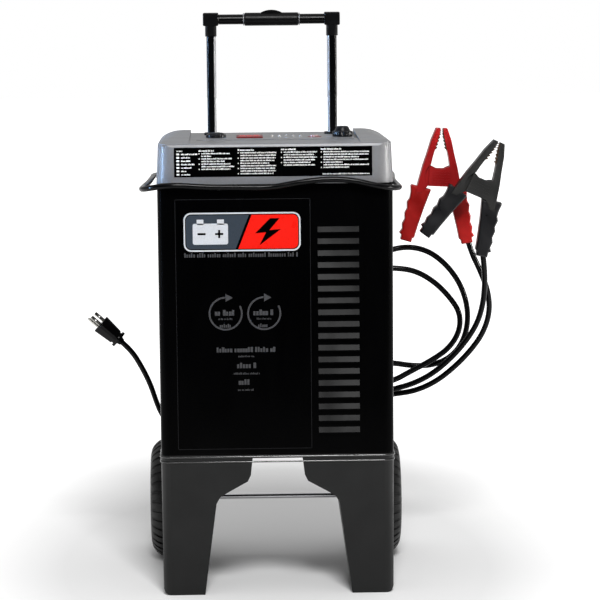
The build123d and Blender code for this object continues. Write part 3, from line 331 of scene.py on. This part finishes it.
MAINS_ROUTE = [
    (-140, 284, 324), (-139, 285, 362), (-134, 287, 408), (-126, 288, 456), (-119, 289, 504),
    (-116, 289, 545), (-121, 290, 573), (-139, 291, 595), (-161, 289, 606), (-179.5, 274.5, 610),
    (-186.5, 250, 611), (-187, 212, 611), (-188, 170, 611), (-190.5, 128, 610), (-194, 86, 609.5),
    (-197, 45, 609), (-197, 17.7, 610), (-185.8, -1.8, 613), (-166.3, -13, 617),
    (-140, -13, 618), (-98, -11, 614.5), (-52, -11.5, 614), (-8, -11, 613), (26, -12, 619),
    (54, -12, 623), (84, -12, 625), (112, -12, 623), (133, -12.5, 618.5), (153.8, -12.5, 613.5),
    (173.3, -1.3, 610), (184.5, 18.2, 609), (185, 45, 608.5), (183, 85, 609), (181.5, 125, 610.5),
    (183, 165, 611), (185.5, 205, 611), (187, 243, 611), (182.5, 269.5, 610), (165.5, 288.5, 609),
    (140.5, 293.5, 608.5), (100, 290, 609), (54, 289, 607.5), (12, 288, 609), (-26, 289, 608),
    (-56, 289, 599), (-77, 288, 578), (-87, 288, 550), (-91, 287, 515), (-95, 288, 470),
    (-93, 287, 425), (-97, 287, 380), (-94, 288, 335), (-93, 287, 293), (-90, 287, 258),
    (-99, 287, 227), (-122, 287, 206), (-153, 286, 203), (-178, 280, 220), (-188, 267, 247),
    (-196, 254, 277), (-209, 250, 306), (-225.5, 250, 334), (-240.5, 250, 347.5)]
CABLE_D = 0.009
MAINS_D = 0.0086


def make_cord(name, route, diameter, replaced):
    """A cord as one smooth NURBS curve through the neighbourhood of its route's points."""
    data = bpy.data.curves.new(name, "CURVE")
    data.dimensions = "3D"
    data.bevel_depth = diameter / 2
    data.bevel_resolution = 5
    data.use_fill_caps = True
    spline = data.splines.new("NURBS")
    spline.points.add(len(route) - 1)
    for point, place in zip(spline.points, route):
        point.co = (*at(*place), 1)
    spline.order_u = 3
    spline.use_endpoint_u = True
    spline.resolution_u = 8
    data.materials.append(MATERIALS["cord_rubber"])
    cord = bpy.data.objects.new(name, data)
    bpy.context.scene.collection.objects.link(cord)
    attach(cord, "root")
    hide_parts(replaced)
    return cord


def make_cords():
    make_cord("mains_lead", MAINS_ROUTE, MAINS_D, "mains_cord")
    make_cord("red_clamp_lead", RED_ROUTE, CABLE_D, "red_cable")
    make_cord("black_clamp_lead", BLACK_ROUTE, CABLE_D, "black_cable")


# ---------------------------------------------------------------- mesh helpers
def mesh_piece(name, mesh_data, slot, body="root", smooth_angle=32):
    """Turns a bmesh into a finished piece that rides on a body."""
    bmesh.ops.recalc_face_normals(mesh_data, faces=mesh_data.faces)
    data = bpy.data.meshes.new(name)
    mesh_data.to_mesh(data)
    mesh_data.free()
    data.shade_smooth()
    data.set_sharp_from_angle(angle=radians(smooth_angle))
    piece = bpy.data.objects.new(name, data)
    bpy.context.scene.collection.objects.link(piece)
    data.materials.append(MATERIALS[slot])
    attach(piece, body)
    return piece


def add_prism(mesh_data, outline, place, low=-0.05, high=0.12):
    """Closed prism on an outline; place(u, v, height) gives its points."""
    bottom = [mesh_data.verts.new(place(u, v, low)) for u, v in outline]
    top = [mesh_data.verts.new(place(u, v, high)) for u, v in outline]
    mesh_data.faces.new(bottom)
    mesh_data.faces.new(top)
    for index in range(len(outline)):
        following = (index + 1) % len(outline)
        mesh_data.faces.new((bottom[index], bottom[following], top[following], top[index]))


def rectangle(x0, x1, z0, z1):
    return [(x0, z0), (x1, z0), (x1, z1), (x0, z1)]


def rounded(x0, x1, z0, z1, radius, steps=6):
    """Rectangle with round corners."""
    points = []
    corners = ((x1 - radius, z1 - radius, 0), (x0 + radius, z1 - radius, 90),
               (x0 + radius, z0 + radius, 180), (x1 - radius, z0 + radius, 270))
    for cx, cz, start in corners:
        for step in range(steps + 1):
            turn = radians(start + 90 * step / steps)
            points.append((cx + radius * cos(turn), cz + radius * sin(turn)))
    return points


def arc_band(cx, cz, inner, outer, start, end, steps=40):
    """Part of a ring between two angles in degrees."""
    turns = [radians(start + (end - start) * step / steps) for step in range(steps + 1)]
    outside = [(cx + outer * cos(turn), cz + outer * sin(turn)) for turn in turns]
    inside = [(cx + inner * cos(turn), cz + inner * sin(turn)) for turn in reversed(turns)]
    return outside + inside


# ---------------------------------------------------------------- prints
LABEL_DEPTH = -0.35         # outer face of the front decal
LID_DRAFT = tan(radians(2.9))
LID_FOOT_Z = 618.0
LID_FOOT_DEPTH = -3.0
LID_LABEL_SKIN = 0.4
PANEL_TOP = 677.0           # top of the overlay on the deck
REAR_FACE = 266.5           # outer face of the back panel


def on_front(x, z, height):
    return at(x, LABEL_DEPTH - height, z)


def on_lid(x, z, height):
    depth = LID_FOOT_DEPTH + (z - LID_FOOT_Z) * LID_DRAFT
    return at(x, depth - LID_LABEL_SKIN - height, z)


def on_deck(x, depth, height):
    return at(x, depth, PANEL_TOP + height)


def on_rear(x, z, height):
    return at(x, REAR_FACE + height, z)


def print_piece(name, outlines, place, slot, low=-0.05, high=0.12, body="root"):
    marks = bmesh.new()
    for outline in outlines:
        add_prism(marks, outline, place, low, high)
    return mesh_piece(name, marks, slot, body)


def greeked_line(rng, x0, x1, z, height, bold=1.0):
    """Row of plain strokes in word-like groups; no letters."""
    strokes = []
    x = x0
    pitch = height * 0.52
    while x < x1 - pitch:
        for _ in range(rng.randint(2, 8)):
            if x > x1 - pitch:
                break
            tall = height * rng.choice((0.72, 0.72, 1.0))
            width = pitch * rng.choice((0.55, 0.68)) * bold
            strokes.append(rectangle(x, x + width, z, z + tall))
            x += pitch
        x += pitch * 0.7
    return strokes


LID_COLUMNS = [
    # start, end, height of the first line, line lengths
    (-111.8, -57.5, 662.3, (0.84, 0.30, 0.90, 0.72, 0.86, 0.98, 0.86)),
    (-54.5, 4.0, 663.0, (0.98, 0.97, 0.96, 0.93, 0.80, 0.97, 0.95, 0.97, 0.90)),
    (9.0, 63.0, 663.4, (0.99, 0.93, 0.99, 0.95, 0.80, 0.93)),
    (67.5, 140.0, 663.4, (0.99, 0.99, 0.76, 0.97, 0.42, 0.98, 0.55)),
]
LID_LINE = 3.8
LID_TEXT = 2.1


def make_lid_print():
    """White greeked instructions in five columns on the black lid label."""
    rng = random.Random(7)
    strokes = []
    for start, end, top, lengths in LID_COLUMNS:
        strokes += greeked_line(rng, start, start + 0.42 * (end - start), top + 3.9, 2.3, 1.4)
        for row, share in enumerate(lengths):
            z = top - row * LID_LINE
            reach = start + 4 + share * (end - start - 4)
            strokes += greeked_line(rng, start + 4, reach, z, LID_TEXT, 1.28)
            if row % 2 == 0:
                strokes.append(rectangle(start, start + 1.5, z, z + 1.5))
    for row, width in enumerate((31, 17, 18, 25, 20, 11, 19)):
        z = 661.2 - row * 4.95
        strokes.append(rounded(-144.5, -140.2, z, z + 2.6, 0.8, 3))
        strokes += greeked_line(rng, -137.5, -137.5 + width * 0.8, z + 0.2, 2.2, 1.35)
    strokes += greeked_line(rng, -144, -135, 666.2, 2.2, 1.3)
    strokes += greeked_line(rng, 70, 140, 631.0, 2.0, 1.25)
    print_piece("lid_instructions", strokes, on_lid, "print_white")


BADGE = (-135.4, 36.9, 518.6, 576.1)
BADGE_SPLIT = -47.0         # where the slash between the two fields crosses the middle
BADGE_RADIUS = 11
GROUND_INSET = 2.2
FIELD_INSET = 3.6
SLASH_LEAN = 10             # half of how far the slash leans over the fields' height
SLASH_GAP = 2               # half the gap between the fields
BATTERY = [(-122, -70, 529, 560), (-116, -106, 558, 566), (-86, -76, 558, 566)]
SIGNS = [(-115, -103, 543, 546), (-89, -77, 543, 546), (-84.5, -81.5, 538.5, 550.5)]
BOLT = [(-8, 567), (-30, 545), (-14, 546.5), (-24, 527), (8, 551), (-9, 549.5), (6, 567)]


def make_badge():
    """Plain charger badge: a grey and a red field with a battery and a bolt."""
    x0, x1, z0, z1 = BADGE
    rim = rounded(x0, x1, z0, z1, BADGE_RADIUS, 10)
    print_piece("badge_rim", [rim], on_front, "badge_silver", high=0.10)
    inset = GROUND_INSET
    ground = rounded(x0 + inset, x1 - inset, z0 + inset, z1 - inset, BADGE_RADIUS - 2, 10)
    print_piece("badge_ground", [ground], on_front, "label_black", low=0.05, high=0.16)
    inset = FIELD_INSET
    left = [(BADGE_SPLIT - SLASH_LEAN - SLASH_GAP, z0 + inset),
            (BADGE_SPLIT + SLASH_LEAN - SLASH_GAP, z1 - inset)]
    left += [point for point in rounded(x0 + inset, x0 + 40, z0 + inset, z1 - inset, 8, 8)
             if point[0] < x0 + 30]
    print_piece("badge_grey_field", [left], on_front, "badge_steel", low=0.12, high=0.22)
    right = [point for point in rounded(x1 - 40, x1 - inset, z0 + inset, z1 - inset, 8, 8)
             if point[0] > x1 - 30]
    upper = [point for point in right if point[1] > (z0 + z1) / 2]
    lower = [point for point in right if point[1] <= (z0 + z1) / 2]
    slash = [(BADGE_SPLIT + SLASH_LEAN + SLASH_GAP, z1 - inset),
             (BADGE_SPLIT - SLASH_LEAN + SLASH_GAP, z0 + inset)]
    right = upper + slash + lower
    print_piece("badge_red_field", [right], on_front, "badge_red", low=0.12, high=0.22)
    battery = [rounded(*BATTERY[0], 3)] + [rectangle(*post) for post in BATTERY[1:]]
    print_piece("badge_battery", battery, on_front, "badge_silver", low=0.15, high=0.30)
    signs = [rectangle(*stroke) for stroke in SIGNS]
    print_piece("badge_signs", signs, on_front, "label_black", low=0.2, high=0.38)
    print_piece("badge_bolt", [BOLT], on_front, "label_black", low=0.15, high=0.32)


ARROW_CENTRES = (-75.0, -18.0)
ARROW_Z = 426
ARROW_BAND = (22.6, 25.2)   # inner and outer radius
RATING_HEADS = ((368, -89, 1, 7.6), (344, -59, -29, 8.2), (319, -57, -33, 8.2))
RATING_NOTES = ((360.5, -57, -32), (334.5, -64, -24), (310, -58, -32))
DECAL = (-148, 51.5, 222, 596)
EDGE_LINE = 0.8


def make_front_print():
    """Dim grey ratings: a strap line, two round arrows and rows of strokes."""
    rng = random.Random(11)
    marks = greeked_line(rng, -135, 36, 510.0, 6.4, 1.1)
    for cx in ARROW_CENTRES:
        marks.append(arc_band(cx, ARROW_Z, *ARROW_BAND, 92, 388))
        marks.append([(cx, ARROW_Z + 29.5), (cx, ARROW_Z + 17.5), (cx + 11, ARROW_Z + 23.5)])
        marks += greeked_line(rng, cx - 16, cx + 17, ARROW_Z - 3, 8.5, 1.35)
        marks += greeked_line(rng, cx - 11, cx + 12, ARROW_Z - 9.5, 3.0)
        marks += greeked_line(rng, cx - 9, cx + 10, ARROW_Z - 21, 5.6, 1.2)
    for z, x0, x1, height in RATING_HEADS:
        marks += greeked_line(rng, x0, x1, z, height, 1.35)
    for z, x0, x1 in RATING_NOTES:
        marks += greeked_line(rng, x0, x1, z, 3.0)
    print_piece("front_ratings", marks, on_front, "print_grey", high=0.08)
    x0, x1, z0, z1 = DECAL
    edges = [rectangle(x0, x1, z1 - EDGE_LINE, z1), rectangle(x0, x1, z0, z0 + EDGE_LINE),
             rectangle(x0, x0 + EDGE_LINE, z0, z1), rectangle(x1 - EDGE_LINE, x1, z0, z1)]
    print_piece("decal_edge", edges, on_front, "print_dark", high=0.06)


KNOB_DEPTH = 142            # depth of the row of controls
KNOBS = {
    # x, inner radius of the ticks, angles of the ticks, inlay radius, top of the cap
    "left": (-87.0, 17.8, range(-45, 226, 45), 9.2, 684.0),
    "right": (105.5, 16.8, range(-60, 241, 30), 7.4, 692.3)}
TICK_LENGTH = 3.8
TICK_HALF = 0.5
DECK_HALF_W = 121
LED_COUNT = 5
LED_PITCH = 11
BUTTON_X = 63
GLASS = (-52.5, -19.5, 126, 164)
GLASS_Z = 679.0
DIGIT_XS = (-47.0, -36.5, -26.0)


def on_display(x, depth, height):
    return at(x, depth, GLASS_Z + height)


def knob_ticks(x, reach, turns):
    """Scale ticks round a knob, left out where they would run off the deck."""
    ticks = []
    middle = Vector((x, KNOB_DEPTH))
    for turn in turns:
        out = Vector((cos(radians(turn)), sin(radians(turn))))
        side = Vector((-out.y, out.x)) * TICK_HALF
        near = middle + out * reach
        far = near + out * TICK_LENGTH
        if abs(far.x) < DECK_HALF_W:
            ticks.append([tuple(near + side), tuple(far + side),
                          tuple(far - side), tuple(near - side)])
    return ticks


def digit_segments(x):
    """The seven segments of one digit."""
    bars = [rectangle(x - 2.6, x + 2.6, z, z + 1.5) for z in (133, 144, 155)]
    sides = [rectangle(x + edge, x + edge + 1.4, z, z + 8) for edge in (-3.6, 2.2) for z in (135, 146)]
    return bars + sides


def make_deck_print():
    """Scale ticks round both knobs, marks by the lamps, and the lit display."""
    marks = []
    for x, reach, turns, _, _ in KNOBS.values():
        marks += knob_ticks(x, reach, turns)
    for step in range(LED_COUNT):
        x = step * LED_PITCH
        marks.append(rectangle(x - 5.2, x + 1.4, 156, 166))
        marks.append(rectangle(x - 4.6, x + 0.8, 132, 141))
    marks.append(rectangle(BUTTON_X - 8, BUTTON_X + 8, 156, 162))
    print_piece("deck_marks", marks, on_deck, "print_pale", high=0.1)
    # Painted shade: a black strip set in the deck beside the right shoulder stands in for the dark of
    # the slot there.
    groove = [(121.8, 127), (127.4, 127), (126, 232), (124, 232)]
    print_piece("deck_groove_shade", [groove], on_deck, "knob_black", low=-1.2, high=-0.7)
    ring = arc_band(BUTTON_X, KNOB_DEPTH, 8.2, 10.4, 0, 359.9)
    print_piece("start_ring", [ring], on_deck, "glass_red", high=0.25)
    digits = []
    for x in DIGIT_XS:
        digits += digit_segments(x)
    print_piece("display_glass", [rectangle(*GLASS)], on_display, "glass_red", high=0.15)
    print_piece("display_segments", digits, on_display, "badge_red", low=0.05, high=0.25)


REAR_PLATE = (-120, -56, 470, 512)


def make_rear_print():
    """Greeked data plate on the back panel."""
    print_piece("rear_plate", [rounded(*REAR_PLATE, 3)], on_rear, "badge_steel", high=0.3)
    rng = random.Random(23)
    marks = []
    for row in range(7):
        marks += greeked_line(rng, -116, -62 - 8 * (row % 3), 504 - row * 5, 2.6)
    print_piece("rear_plate_print", marks, on_rear, "print_white", low=0.2, high=0.4)


# ---------------------------------------------------------------- lips of the moulded base
LIP_HALF_W = 174.5
LIP_FRONT = -0.6
LIP_BACK = 268.0
LIP_CORNER = 14.5
LIPS = (("base_lip_upper", 210.2, 1.5), ("base_lip_lower", 202.6, 1.2))


def make_lip(name, z, radius):
    """Rolled lip along the sides and the front of the base."""
    path = [(LIP_HALF_W, LIP_BACK), (LIP_HALF_W, LIP_BACK / 2)]
    for side in (1, -1):
        centre = (side * (LIP_HALF_W - LIP_CORNER), LIP_FRONT + LIP_CORNER)
        turns = range(0, 91, 9) if side > 0 else range(90, -1, -9)
        path += [(centre[0] + side * LIP_CORNER * cos(radians(t)),
                  centre[1] - LIP_CORNER * sin(radians(t))) for t in turns]
    path += [(-LIP_HALF_W, LIP_BACK / 2), (-LIP_HALF_W, LIP_BACK)]
    data = bpy.data.curves.new(name, "CURVE")
    data.dimensions = "3D"
    data.bevel_depth = radius * MM
    data.bevel_resolution = 3
    data.use_fill_caps = True
    spline = data.splines.new("POLY")
    spline.points.add(len(path) - 1)
    for point, (x, depth) in zip(spline.points, path):
        point.co = (*at(x, depth, z), 1)
    data.materials.append(MATERIALS["lip_gloss"])
    lip = bpy.data.objects.new(name, data)
    bpy.context.scene.collection.objects.link(lip)
    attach(lip, "root")


def make_lips():
    for name, z, radius in LIPS:
        make_lip(name, z, radius)


GRIP_HALF_W = 43.0
GRIP_DEPTH = 222
GRIP_Z = 853.7


def make_grip_rings():
    """Bright washers at both ends of the grip."""
    for name, x in (("left", -GRIP_HALF_W), ("right", GRIP_HALF_W)):
        def on_end(u, v, height, x=x):
            return at(x + height, GRIP_DEPTH + u, GRIP_Z + v)

        outline = arc_band(0, 0, 7.9, 9.6, 0, 359.9)
        print_piece("grip_ring_" + name, [outline], on_end, "lid_grey",
                    low=-0.6, high=0.6, body="handle")


# ---------------------------------------------------------------- knob caps
def make_knob_caps():
    """Blue-grey inlays on the knobs, their colour a painted reflection of the light on the knob tops,
    with a white pointer line.
    """
    for name, (x, _, _, radius, top) in KNOBS.items():
        def on_cap(u, v, height, x=x, top=top):
            return at(x + u, KNOB_DEPTH + v, top + height)

        disc = [(radius * cos(radians(t)), radius * sin(radians(t))) for t in range(0, 360, 9)]
        body = name + "_knob"
        # The inlay's blue-grey is a painted reflection on the knob top.
        print_piece(name + "_knob_reflection_inlay", [disc], on_cap, "badge_steel", high=0.35, body=body)
        pointer = rectangle(-0.9, 0.9, -radius - 0.6, -1.5)
        print_piece(name + "_knob_pointer", [pointer], on_cap, "print_white",
                    low=0.7, high=1.15, body=body)


# ---------------------------------------------------------------- tyres
TYRE_X = 175.5
AXLE_DEPTH = 268.0
AXLE_Z = 93.0
TYRE_PROFILE = [
    # sideways from the middle, radius, depth of the grooves there
    (22.5, 62.0, 0), (22.5, 64.6, 0), (21.7, 65.4, 0), (21.9, 70.5, 0), (22.4, 71.2, 0),
    (21.4, 76.0, 0), (20.2, 79.2, 0), (18.2, 82.6, 1.0), (15.5, 86.0, 2.4), (12.4, 88.9, 2.6),
    (9.5, 91.0, 2.6), (5.5, 92.6, 2.6), (2.3, 93.0, 2.4), (1.9, 90.2, 0)]
LUG_COUNT = 38
LUG_STOPS = [0.0, 0.12, 0.16, 0.31, 0.46, 0.5, 0.62, 0.66, 0.81, 0.96]
GROOVE_SPAN = (0.655, 0.965)


def groove_share(turn):
    """1 in a groove and 0 on a lug, by the place within one lug's pitch."""
    start, end = GROOVE_SPAN
    return 1.0 if start < turn % 1.0 < end else 0.0


def make_tyre(name, centre_x, body):
    """Rubber tyre with two rows of offset lugs and a centre groove."""
    profile = TYRE_PROFILE + [(-side, radius, cut) for side, radius, cut in reversed(TYRE_PROFILE)]
    tyre = bmesh.new()
    rings = []
    for lug in range(LUG_COUNT):
        for stop in LUG_STOPS:
            turn = radians(360) * (lug + stop) / LUG_COUNT
            ring = []
            for side, radius, cut in profile:
                offset = 0.0 if side > 0 else 0.5
                r = radius - cut * groove_share(stop + offset)
                ring.append(tyre.verts.new(at(centre_x + side, AXLE_DEPTH + r * sin(turn),
                                              AXLE_Z + r * cos(turn))))
            rings.append(ring)
    for first, second in zip(rings, rings[1:] + rings[:1]):
        for index in range(len(profile)):
            following = (index + 1) % len(profile)
            tyre.faces.new((first[index], first[following], second[following], second[index]))
    piece = mesh_piece(name, tyre, "tyre_rubber", body, 40)
    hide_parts(body.replace("wheel", "tyre"))


def make_tyres():
    make_tyre("tread_left", -TYRE_X, "wheel_left")
    make_tyre("tread_right", TYRE_X, "wheel_right")


# ---------------------------------------------------------------- clamps
CLAMPS = {"red": ((262.0, 250, 605.0), 2.8), "black": ((321.5, 215, 591.5), 24.0)}
JAW_FACE = 11.0             # half thickness of a jaw
BEAD_OUT = 0.7              # how far the raised details stand out of a jaw's face
BEAD_IN = 0.2               # and how far they reach into it
TOOTH_LINE = [(1.9, 74.0), (3.2, 67.0), (6.4, 54.0), (9.4, 41.5)]
TOOTH_COUNT = 7
TOOTH_SHARE = 0.72
TOOTH_REACH = 3.0
RIB_COUNT = 5
RIB_FOOT = -9.5
RIB_PITCH = 4.1
RIB_HEIGHT = 1.1


def clamp_place(colour):
    pivot, lean = CLAMPS[colour]
    return Matrix.Translation(at(*pivot)) @ Matrix.Rotation(radians(lean), 4, "Y")


def clamp_detail(name, colour, outlines, y0, y1, slot, body):
    """Prisms in the clamp's own X-Z plane, between two local y values."""
    place = clamp_place(colour)
    shapes = bmesh.new()
    for outline in outlines:
        add_prism(shapes, outline, lambda u, v, y: place @ (Vector((u, y, v)) * MM), y0, y1)
    return mesh_piece(colour + "_" + name, shapes, slot, body)


def jaw_bead(side):
    """Raised edge along the outside of a jaw arm."""
    outer = [(7.9, 75), (10.6, 68), (14.9, 56.5), (20.5, 34.5), (26.1, 15.5), (31.8, -9)]
    inner = [(x - 1.7, z - 0.3) for x, z in reversed(outer)]
    return [(side * x, z) for x, z in outer + inner]


def point_along(line, share):
    """Point at a share of the way along a line of evenly counted points."""
    place = share * (len(line) - 1)
    index = min(int(place), len(line) - 2)
    rest = place - index
    return (line[index][0] + rest * (line[index + 1][0] - line[index][0]),
            line[index][1] + rest * (line[index + 1][1] - line[index][1]))


def jaw_teeth(side):
    """Teeth of the copper jaw insert, standing inwards."""
    teeth = []
    for step in range(TOOTH_COUNT):
        xa, za = point_along(TOOTH_LINE, step / TOOTH_COUNT)
        xb, zb = point_along(TOOTH_LINE, (step + TOOTH_SHARE) / TOOTH_COUNT)
        tip = min(TOOTH_REACH, xa - 0.4)
        teeth.append([(side * (xa + 0.8), za), (side * (xa - tip * 0.85), za - 1.0),
                      (side * (xb - tip * 0.3), zb), (side * (xb + 0.8), zb)])
    return teeth


def web_ribs():
    """Low ribs across the web between a clamp's arms."""
    feet = [RIB_FOOT + step * RIB_PITCH for step in range(RIB_COUNT)]
    return [rectangle(-12, 17, foot, foot + RIB_HEIGHT) for foot in feet]


def make_clamp_details():
    for colour in CLAMPS:
        slot = "clamp_" + colour
        jaw = colour + "_jaw"
        for y0, y1, face in ((-JAW_FACE - BEAD_OUT, -JAW_FACE + BEAD_IN, "front"),
                             (JAW_FACE - BEAD_IN, JAW_FACE + BEAD_OUT, "back")):
            clamp_detail("fixed_bead_" + face, colour, [jaw_bead(1)], y0, y1, slot, "root")
            clamp_detail("moving_bead_" + face, colour, [jaw_bead(-1)], y0, y1, slot, jaw)
            clamp_detail("web_ribs_" + face, colour, web_ribs(), y0 + 0.1, y1 - 0.1, slot, "root")
        clamp_detail("fixed_teeth", colour, jaw_teeth(1), -7.5, 7.5, "contact_copper", "root")
        clamp_detail("moving_teeth", colour, jaw_teeth(-1), -9.5, 9.5, "contact_copper", jaw)


# ---------------------------------------------------------------- softened edges
BEVEL_FROM = radians(38)    # edges sharper than this are rounded
SOFT_EDGES = {
    # rounding in mm
    "base_frame": 1.2, "lid": 0.8, "handle_corners": 0.5, "guide_bezels": 0.6,
    "red_fixed_jaw": 0.9, "red_moving_jaw": 0.9, "black_fixed_jaw": 0.9, "black_moving_jaw": 0.9,
    "red_fixed_grip": 0.7, "red_moving_grip": 0.7, "black_fixed_grip": 0.7,
    "black_moving_grip": 0.7, "plug_body": 0.5, "cord_hooks": 0.6, "display_window": 0.3,
    "left_knob": 0.25, "right_knob": 0.25, "hub_left": 0.5, "hub_right": 0.5}


def soften_edges():
    """Rounds the sharp moulded edges, as the tools leave them."""
    for node, width in SOFT_EDGES.items():
        piece = frame["nodes"][node]
        weld = piece.modifiers.new("weld", "WELD")
        weld.merge_threshold = 0.00001
        bevel = piece.modifiers.new("edges", "BEVEL")
        bevel.width = width * MM
        bevel.segments = 2
        bevel.limit_method = "ANGLE"
        bevel.angle_limit = BEVEL_FROM
        bevel.harden_normals = True


# ---------------------------------------------------------------- stage and light
FLOOR_FRONT = -1.5
FLOOR_BACK = 14.0
FLOOR_HALF_W = 9.0
COVE_SHIFT = (0.0, -0.02, 0.0)
COVE_SCALE = (0.9, 0.55, 1.0)
COVE_GLOW = 0.85            # light of the cove, far from the object
COVE_SPAN = (0.3, 0.8)      # how far away the glow starts, and where it is full


def make_floor():
    """White floor that ends a little in front, so the gloss front doesn't mirror it."""
    middle = (FLOOR_FRONT + FLOOR_BACK) / 2
    bpy.ops.mesh.primitive_plane_add(size=1, location=(0, middle, 0))
    floor = bpy.context.object
    floor.name = "floor"
    floor.scale = (2 * FLOOR_HALF_W, FLOOR_BACK - FLOOR_FRONT, 1)
    shader = Shader("floor_white", Specular_IOR_Level=0.0)
    shader.roughness(shader.spread(shader.noise(3, 3), 0.85, 0.95))
    whites = [(0.3, (0.87, 0.87, 0.87)), (0.7, (0.88, 0.88, 0.88))]
    shader.color(shader.ramp(shader.noise(1.5, 3), whites))
    shader.bsdf.inputs["Emission Color"].default_value = (1, 1, 1, 1)
    place = shader.node("Mapping")
    place.inputs["Location"].default_value = COVE_SHIFT
    place.inputs["Scale"].default_value = COVE_SCALE
    shader.link(shader.node("NewGeometry").outputs["Position"], place.inputs["Vector"])
    away = shader.node("VectorMath", operation="LENGTH")
    shader.link(place.outputs["Vector"], away.inputs[0])
    glow = shader.spread(away.outputs["Value"], 0.0, COVE_GLOW, *COVE_SPAN)
    shader.link(glow, shader.bsdf.inputs["Emission Strength"])
    floor.data.materials.append(shader.material)


def area_light(name, place, target, size, power, color=(1, 1, 1), size_y=None, spread=180):
    data = bpy.data.lights.new(name, "AREA")
    data.spread = radians(spread)
    data.energy = power
    data.color = color
    data.size = size
    if size_y:
        data.shape = "RECTANGLE"
        data.size_y = size_y
    lamp = bpy.data.objects.new(name, data)
    lamp.location = place
    lamp.rotation_euler = (Vector(target) - Vector(place)).to_track_quat("-Z", "Y").to_euler()
    bpy.context.scene.collection.objects.link(lamp)


SKY_TOP = 0.8               # light from the ceiling
SKY_BACK = 0.55             # white walls at the sides and behind
SKY_FRONT = 0.02            # dark studio in front, low down
SIDE_BOX = (0.4, 0.3)       # width and height of the lights at the sides
SIDE_SPREAD = 16            # narrow, so they light the lid's ends and not the floor


def make_world():
    """White backdrop to look at, and a studio with a dark front to light and mirror."""
    world = bpy.data.worlds.new("studio")
    world.use_nodes = True
    tree = world.node_tree
    background = tree.nodes["Background"]
    background.inputs["Color"].default_value = (1, 1, 1, 1)

    def blend(value, start, end, low, high):
        made = tree.nodes.new("ShaderNodeMapRange")
        made.interpolation_type = "SMOOTHSTEP"
        for socket, number in zip(RANGE_SOCKETS, (start, end, low, high)):
            made.inputs[socket].default_value = number
        tree.links.new(value, made.inputs["Value"])
        return made.outputs["Result"]

    def mix(factor, first, second):
        made = tree.nodes.new("ShaderNodeMix")
        for socket, value in ((0, factor), (2, first), (3, second)):
            if isinstance(value, float):
                made.inputs[socket].default_value = value
            else:
                tree.links.new(value, made.inputs[socket])
        return made.outputs[0]

    direction = tree.nodes.new("ShaderNodeSeparateXYZ")
    coordinates = tree.nodes.new("ShaderNodeTexCoord")
    tree.links.new(coordinates.outputs["Generated"], direction.inputs["Vector"])
    low = blend(direction.outputs["Y"], -0.45, 0.25, SKY_FRONT, SKY_BACK)
    high = blend(direction.outputs["Z"], 0.6, 0.85, 0.0, 1.0)
    studio = mix(high, low, SKY_TOP)
    path = tree.nodes.new("ShaderNodeLightPath")
    tree.links.new(mix(path.outputs["Is Camera Ray"], studio, 1.0), background.inputs["Strength"])
    bpy.context.scene.world = world


def make_light():
    make_world()
    bpy.context.scene.view_settings.view_transform = "Standard"
    area_light("key", (0.25, -2.7, 2.9), (0, 0, 0.2), 0.9, 108)
    width, height = SIDE_BOX
    for name, place, target, power, color in (
            ("left_box", (-2.6, -0.5, 0.8), (-0.17, 0, 0.65), 1.1, (0.36, 0.60, 1.0)),
            ("right_box", (2.6, -0.6, 0.85), (0.17, 0, 0.65), 0.75, (1.0, 0.98, 0.95))):
        area_light(name, place, target, width, power, color, height, SIDE_SPREAD)


make_camera()
dress_nodes()
make_cords()
soften_edges()
make_lid_print()
make_badge()
make_front_print()
make_deck_print()
make_rear_print()
make_lips()
make_grip_rings()
make_knob_caps()
make_tyres()
make_clamp_details()
make_floor()
make_light()
